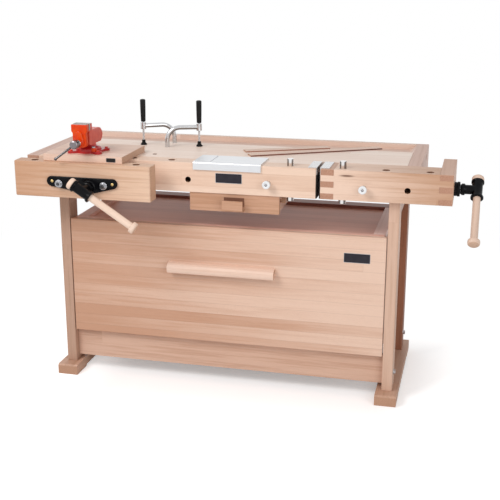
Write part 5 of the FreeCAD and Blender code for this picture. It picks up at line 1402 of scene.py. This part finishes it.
@dataclass
class MetalVise(SubAssembly):
    """The cast bench-top vise on its board, in millimetres from the apron's corner.

    A lug is its place beside the vise's middle and the turn of its nut in radians; the tilt is
    in degrees.
    """

    x: float = 261.0
    y: float = -12.0
    board_top: float = 926.3
    spindle: float = 975.3
    jaw_front: float = -97.5
    jaw_back: float = -75.4
    jaw_top: float = 1041.3
    hub: float = -140.5
    tilt: float = 54.0
    drum: float = 86.0
    lugs: tuple[Point, ...] = ((34.0, -33.0, -0.8), (-36.0, 30.0, 2.4))
    nut: Point = (11.0, 5.0, 3.0)
    plate: tuple[Point, Point] = ((360.5, -91.0, 905.0), (397.0, -90.0, 920.5))

    def on_axis(self, y: float) -> Point:
        """A spot on the spindle's axis."""
        return at(self.x, y, self.spindle)

    def dress(self) -> None:
        """Give the castings their enamel and the working parts their steel."""
        dress(vise_board=BOARD, metal_vise_jaw=RED_ENAMEL, metal_vise_fixed_insert=MACHINED,
              metal_vise_moving_insert=MACHINED, metal_vise_spindle=TOOL_STEEL,
              metal_vise_bar=TOOL_STEEL)
        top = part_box("metal_vise_body")[1].z
        drum = top - self.drum * MM
        dress_by_face("metal_vise_body", (RED_SHADE, MACHINED, RED_DEEP), lambda face: (
            1 if faces_up(face, 0.95) and face.center.z > top - 3.0 * MM
            else 2 if face.center.z < drum else 0))
        ease_edges(1.6 * MM, "metal_vise_body")
        ease_edges(0.8 * MM, "vise_board")

    def build(self) -> None:
        """Model the moving jaw, the spindle, its bar, the lock lugs and the bare plate."""
        self.build_jaw()
        self.build_nose()
        self.build_slide()
        self.build_spindle()
        for index, (dx, dy, turn) in enumerate(self.lugs):
            x, y = self.x + dx, self.y + dy
            turned("metal_lock_lug_%d" % index, [
                (10.6, 0.0), (10.6, 12.0), (9.6, 14.4), (7.2, 15.4)],
                at(x, y, self.board_top + 6.0), segments=32).finish(
                    "bench", RED_ENAMEL, "red_enamel", smooth=60.0)
            set_nut("metal_lock_bolt_%d" % index, "bench", at(x, y, self.board_top + 21.2),
                    Stand.UP, self.nut, turn)
        Plate("board_plate", "bench", PLATE_BLACK, TOOL_STEEL).build(
            *(at(*corner) for corner in self.plate))

    def build_jaw(self) -> None:
        """Model the moving jaw with its hollow shoulders and machined top."""
        side = [(-12.0, -86.0), (-24.0, -82.0), (-26.8, -70.0), (-26.0, -62.0), (-26.0, -34.5),
                (-26.8, -31.0), (-28.4, -28.4), (-30.4, -26.5), (-31.0, -24.5), (-31.0, -2.0),
                (-29.4, 0.0)]
        outline = side + [(-x, z) for x, z in reversed(side)]
        jaw = Work.prism("metal_jaw_casting", mm(outline),
                         (self.jaw_back - self.jaw_front - 0.3) * MM).soften(2.4 * MM, 3, 40.0)
        jaw.put(at(self.x, self.jaw_back - 0.3, self.jaw_top), Stand.FRONT)
        thing = jaw.finish("metal_jaw", RED_ENAMEL, "red_enamel", ["metal_vise_jaw"], smooth=50.0)
        thing.data.materials.append(FINISHES.of(MACHINED))
        for face in thing.data.polygons:
            if faces_up(face, 0.98):
                face.material_index = 1

    def build_nose(self) -> None:
        """Model the rib on the jaw's front, the boss on it and the boss's bright collar."""
        rib = Work.prism("metal_jaw_rib", hull([(0.0, 0.0, 20.0 * MM),
                                                (0.0, 30.0 * MM, 13.0 * MM)], 24), 7.0 * MM)
        rib.pick(faces_up)
        for inward, rise in ((1.2, 1.6), (1.8, 1.2), (2.4, 0.8), (3.0, 0.3)):
            bpy.ops.mesh.inset(thickness=inward * MM, depth=rise * MM)
        clear_hands()
        rib.put(self.on_axis(self.jaw_front + 2.0), Stand.FRONT)
        rib.finish("metal_jaw", RED_ENAMEL, "red_enamel", smooth=60.0)
        turned("metal_jaw_boss", [
            (8.6, 0.0), (19.0, 0.0), (17.6, 6.0), (16.4, 12.0), (16.0, 19.0), (15.0, 20.4),
            (8.6, 20.4), (8.6, 0.0)], self.on_axis(self.jaw_front - 0.5), Stand.FRONT).finish(
                "metal_jaw", RED_ENAMEL, "red_enamel", smooth=50.0)
        collar = ring_of("metal_jaw_collar", 8.6 * MM, 14.6 * MM, 4.0 * MM)
        collar.put(self.on_axis(self.jaw_front - 20.8), Stand.FRONT)
        collar.finish("metal_jaw", CHROME, "red_enamel")

    def build_slide(self, half: float = 12.0, end: float = 27.4) -> None:
        """Model the jaw's square slide with the spindle's bore.

        Args:
            half: half its width and height.
            end: how far back it ends.
        """
        slide = Work.block("metal_jaw_slide",
                           at(self.x - half, self.jaw_back - 3.0, self.spindle - half),
                           at(self.x + half, end, self.spindle + half)).soften(1.4 * MM, 3)
        bore = Work.bar("metal_jaw_slide_bore", 32, 8.5 * MM, 130.0 * MM)
        slide.take(bore.put(self.on_axis(40.0), Stand.FRONT))
        slide.finish("metal_jaw", MACHINED, "red_enamel")

    def build_spindle(self) -> None:
        """Model the spindle's drum head with its shaft, and the bar with its ball end."""
        lean = Matrix.Rotation(math.radians(self.tilt), 4, "Y")
        hub = self.on_axis(self.hub)
        head = turned("metal_spindle_head", [
            (8.0, -17.5), (13.0, -17.5), (15.5, -15.0), (15.5, 11.6), (14.9, 12.8),
            (13.4, 13.8), (10.2, 15.2), (9.6, 15.2), (9.0, 14.6), (4.6, 14.9)], hub,
            Stand.FRONT, 40)
        hole = Work.bar("metal_spindle_hole", 28, 4.9 * MM, 50.0 * MM)
        head.take(hole.put((0.0, 0.0, -25.0 * MM)).put(hub, lean))
        head.finish("metal_spindle", TOOL_STEEL, "tool_steel", ["metal_vise_spindle"])
        turned("metal_spindle_shaft", [
            (7.9, 12.0), (7.9, 60.0), (6.9, 61.0), (6.9, 142.0), (6.0, 143.5)], hub,
            Stand.BACK, 32).finish("metal_spindle", TOOL_STEEL, "tool_steel")
        turned("metal_bar_turned", [
            (1.6, -102.6), (4.0, -101.6), (5.4, -99.6), (6.0, -96.8), (5.4, -94.0), (4.1, -92.2),
            (4.1, 15.9), (5.2, 16.6), (5.5, 18.6), (5.0, 20.4), (3.0, 21.4)], hub, lean,
            32).finish("metal_bar", BAR_STEEL, "tool_steel", ["metal_vise_bar"], smooth=50.0)


@dataclass
class HoldDowns(SubAssembly):
    """The two hold-downs with their feed screws, grips and pads, in millimetres."""

    radius: float = 4.2
    pitch: float = 2.0
    plain: float = 2.0
    grip: float = 90.0

    def dress(self) -> None:
        """Give the arms their chrome, the grips their plastic and the pads their rubber."""
        for side in ("left", "right"):
            for part, finish in (("arm", CHROME), ("screw", GRIP_BLACK), ("pad", PAD_RUBBER)):
                paint("%s_hold_%s" % (side, part), finish)

    def build(self) -> None:
        """Model both hold-downs."""
        for side in ("left", "right"):
            self.build_side(side)

    def build_side(self, side: str) -> None:
        """Model one hold-down's bright feed screw, black grip and bell-shaped pad."""
        body, pad_body = side + "_hold_screw", side + "_hold_pad"
        low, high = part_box(body)
        x, y = centre(body).xy
        grip_low = high.z - self.grip * MM
        bare = (grip_low - low.z) / MM
        turned(side + "_feed_rod", [
            (3.2, 0.0), (3.6, 0.6), (3.6, bare - 1.0), (4.2, bare - 0.4), (4.2, bare + 6.0)],
            (x, y, low.z), segments=28).finish(body, BRIGHT_STEEL, smooth=40.0)
        wind = thread(side + "_feed_thread", self.radius * MM, self.pitch * MM,
                      int((bare - self.plain) / self.pitch) - 1, 14)
        wind.put((x, y, low.z + 0.6 * MM)).finish(body, BRIGHT_STEEL)
        turned(side + "_grip", [
            (7.4, 0.0), (8.6, 0.4), (9.4, 1.8), (9.7, 6.0), (10.3, 30.0), (10.8, 62.0),
            (10.9, 84.0), (10.5, 87.4), (9.4, 89.2), (7.6, 90.0), (3.2, 90.0), (2.8, 89.2)],
            (x, y, grip_low), segments=40).finish(
                body, GRIP_BLACK, "grip_black", [body], smooth=50.0)
        turned(side + "_pad_bell", [
            (4.9, 12.2), (4.9, 20.0), (6.6, 19.8), (7.2, 18.6), (7.2, 14.6), (6.8, 13.2),
            (7.8, 9.8), (9.6, 6.4), (12.0, 4.2), (13.0, 3.2), (13.0, 0.8), (12.2, 0.0),
            (3.0, 0.0), (3.0, 11.0), (4.9, 12.2)], (x, y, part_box(pad_body)[0].z),
            segments=40).finish(pad_body, PAD_RUBBER, "pad_rubber", [pad_body], smooth=50.0)


@dataclass
class Fittings(SubAssembly):
    """The hook plate and the two straightedges: their slant in degrees, their gap in metres."""

    slant: float = 28.0
    aside: float = 0.02

    def dress(self) -> None:
        """Give the plate its aluminium, each strip its own beech and its edges a darker one as
        painted shade.
        """
        dress(bench_hook_plate=ALUMINIUM)
        ease_edges(EASED, "bench_hook_plate")
        slope = math.tan(math.radians(self.slant))
        middle = centre("straightedges")

        def choose(face: bpy.types.MeshPolygon) -> int:
            """0 or 1 for the top of the near or the far strip, 2 or 3 for its edges, painted in
            shade.
            """
            x, y = face.center.xy
            far = y - middle.y > slope * (x - middle.x) + self.aside
            return int(far) + (2 if face.normal.z < 0.5 else 0)

        dress_by_face("straightedges", (STRIP_NEAR, STRIP_FAR, STRIP_EDGE_PAINTED_SHADE, STRIP_FAR_EDGE_PAINTED_SHADE),
                      choose)


@dataclass(frozen=True)
class Lamp:
    """A square area lamp of plain white light that faces a target."""

    name: str
    spot: Point
    target: Point
    size: float
    power: float

    def hang(self) -> None:
        """Hang the lamp in the scene."""
        data = bpy.data.lights.new(self.name, "AREA")
        data.size, data.energy = self.size, self.power
        lamp = bpy.data.objects.new(self.name, data)
        bpy.context.scene.collection.objects.link(lamp)
        lamp.location = self.spot
        lamp.rotation_euler = (Vector(self.target) - Vector(self.spot)).to_track_quat(
            "-Z", "Y").to_euler()


@dataclass
class Studio:
    """The camera, the lamps, the world and the floor.

    Places are in metres, turns in radians, and the sensor and lens in millimetres. Near is half
    the length and depth of the patch of floor that keeps the bench's shadow. For the eye the
    floor glows there with the first strength of lift, and further out with the sum of both; the
    weaker glow near the bench is painted shade on the floor round it.
    Between the two radii of fade it turns plain white.
    """

    eye: Point = (0.84294, -3.61861, 1.61537)
    yaw: float = 0.23555
    pitch: float = 0.28593
    roll: float = 0.001265
    sensor: float = 36.0
    lens: float = 70.442
    shift: tuple[float, float] = (0.00146, -0.00108)
    ambient: float = 0.46
    floor_size: float = 60.0
    floor_low: float = 0.0005
    floor_colour: RGB = (0.90, 0.90, 0.905)
    near: tuple[float, float] = (0.55, 0.28)
    lift: tuple[float, float] = (0.30, 0.28)
    fade: tuple[float, float] = (1.5, 2.6)
    lamps: tuple[Lamp, ...] = (
        Lamp("key_lamp", (-1.9, -2.6, 3.2), (0.0, 0.0, 0.7), 1.6, 74.0),
        Lamp("fill_lamp", (2.6, -3.0, 2.0), (0.2, 0.0, 0.6), 2.2, 42.0))

    def camera(self) -> None:
        """Set the camera at its spot."""
        ahead = Vector((-math.sin(self.yaw), math.cos(self.yaw), 0.0))
        up = Vector((0.0, 0.0, 1.0))
        right = Vector((math.cos(self.yaw), math.sin(self.yaw), 0.0))
        look = ahead * math.cos(self.pitch) - up * math.sin(self.pitch)
        top = up * math.cos(self.pitch) + ahead * math.sin(self.pitch)
        side = right * math.cos(self.roll) + top * math.sin(self.roll)
        head = top * math.cos(self.roll) - right * math.sin(self.roll)
        data = bpy.data.cameras.new("camera")
        data.sensor_width, data.lens = self.sensor, self.lens
        data.shift_x, data.shift_y = self.shift
        camera = bpy.data.objects.new("camera", data)
        bpy.context.scene.collection.objects.link(camera)
        camera.matrix_world = Matrix(((side.x, head.x, -look.x, self.eye[0]),
                                      (side.y, head.y, -look.y, self.eye[1]),
                                      (side.z, head.z, -look.z, self.eye[2]),
                                      (0.0, 0.0, 0.0, 1.0)))
        bpy.context.scene.camera = camera

    def world(self) -> None:
        """A white surround for the eye and for reflections, and softer light for the rest."""
        world = bpy.data.worlds.new("surround")
        bpy.context.scene.world = world
        world.use_nodes = True
        nodes = Nodes(world.node_tree)
        rays = nodes.add("LightPath").outputs
        seen = nodes.math("MAXIMUM", rays["Is Camera Ray"], nodes.math(
            "MAXIMUM", rays["Is Glossy Ray"], rays["Is Transmission Ray"]))
        soft, plain = (nodes.add("Background", {"Strength": strength, "Color": WHITE}).outputs[0]
                       for strength in (self.ambient, 1.0))
        mixed = nodes.add("MixShader", {0: seen, 1: soft, 2: plain})
        nodes.add("OutputWorld", {0: mixed.outputs[0]})

    def floor(self) -> None:
        """A pale floor that keeps the bench's shadow and fades to plain white further off."""
        clear_hands()
        bpy.ops.mesh.primitive_plane_add(size=self.floor_size,
                                         location=(0.0, 0.0, -self.floor_low))
        floor = bpy.context.active_object
        floor.name = "floor"
        g = Graph("floor_white")
        g.dress(self.floor_colour, 0.9, specular=0.0)
        sides = g.split(g.vectors("ABSOLUTE", g.place()).outputs[0])
        out = g.math("MAXIMUM", *(g.math("SUBTRACT", sides[i], self.near[i]) for i in range(2)))
        rays = g.add("LightPath").outputs
        seen = g.math("MAXIMUM", rays["Is Camera Ray"], rays["Is Glossy Ray"])
        # Painted shade: the glow is weaker near the bench, which darkens the floor round it where
        # it is lit as well as in its shadow.
        lift = g.add("Emission", {"Color": WHITE, "Strength": g.math(
            "MULTIPLY", rays["Is Camera Ray"],
            g.math("MULTIPLY_ADD", g.ramp(out, -0.05, 0.28), self.lift[1], self.lift[0]))})
        lit = g.add("AddShader", {0: g.shader.outputs[0], 1: lift.outputs[0]})
        plain = g.add("Emission", {"Color": WHITE, "Strength": 1.0})
        away = g.vectors("LENGTH", g.place()).outputs["Value"]
        fade = g.math("MULTIPLY", g.ramp(away, *self.fade), seen)
        mixed = g.add("MixShader", {0: fade, 1: lit.outputs[0], 2: plain.outputs[0]})
        g.put(g.output.inputs[0], mixed.outputs[0])
        floor.data.materials.append(g.material)

    def build(self) -> None:
        """Set the camera, light the bench and lay the floor."""
        bpy.context.scene.view_settings.view_transform = "Standard"
        self.camera()
        self.world()
        self.floor()
        for lamp in self.lamps:
            lamp.hang()


def main() -> None:
    """Build and dress the bench, sub-assembly by sub-assembly, and light it."""
    logging.basicConfig(level=logging.INFO, format="%(name)s: %(message)s")
    Studio().build()
    for part in (Worktop(), Trestles(), Chest(), FaceVise(), TailVise(), DogsAndPegs(),
                 MetalVise(), HoldDowns(), Fittings()):
        part.dress()
        part.build()
        LOG.info("%s is done", type(part).__name__)


if __name__ == "__main__":
    main()
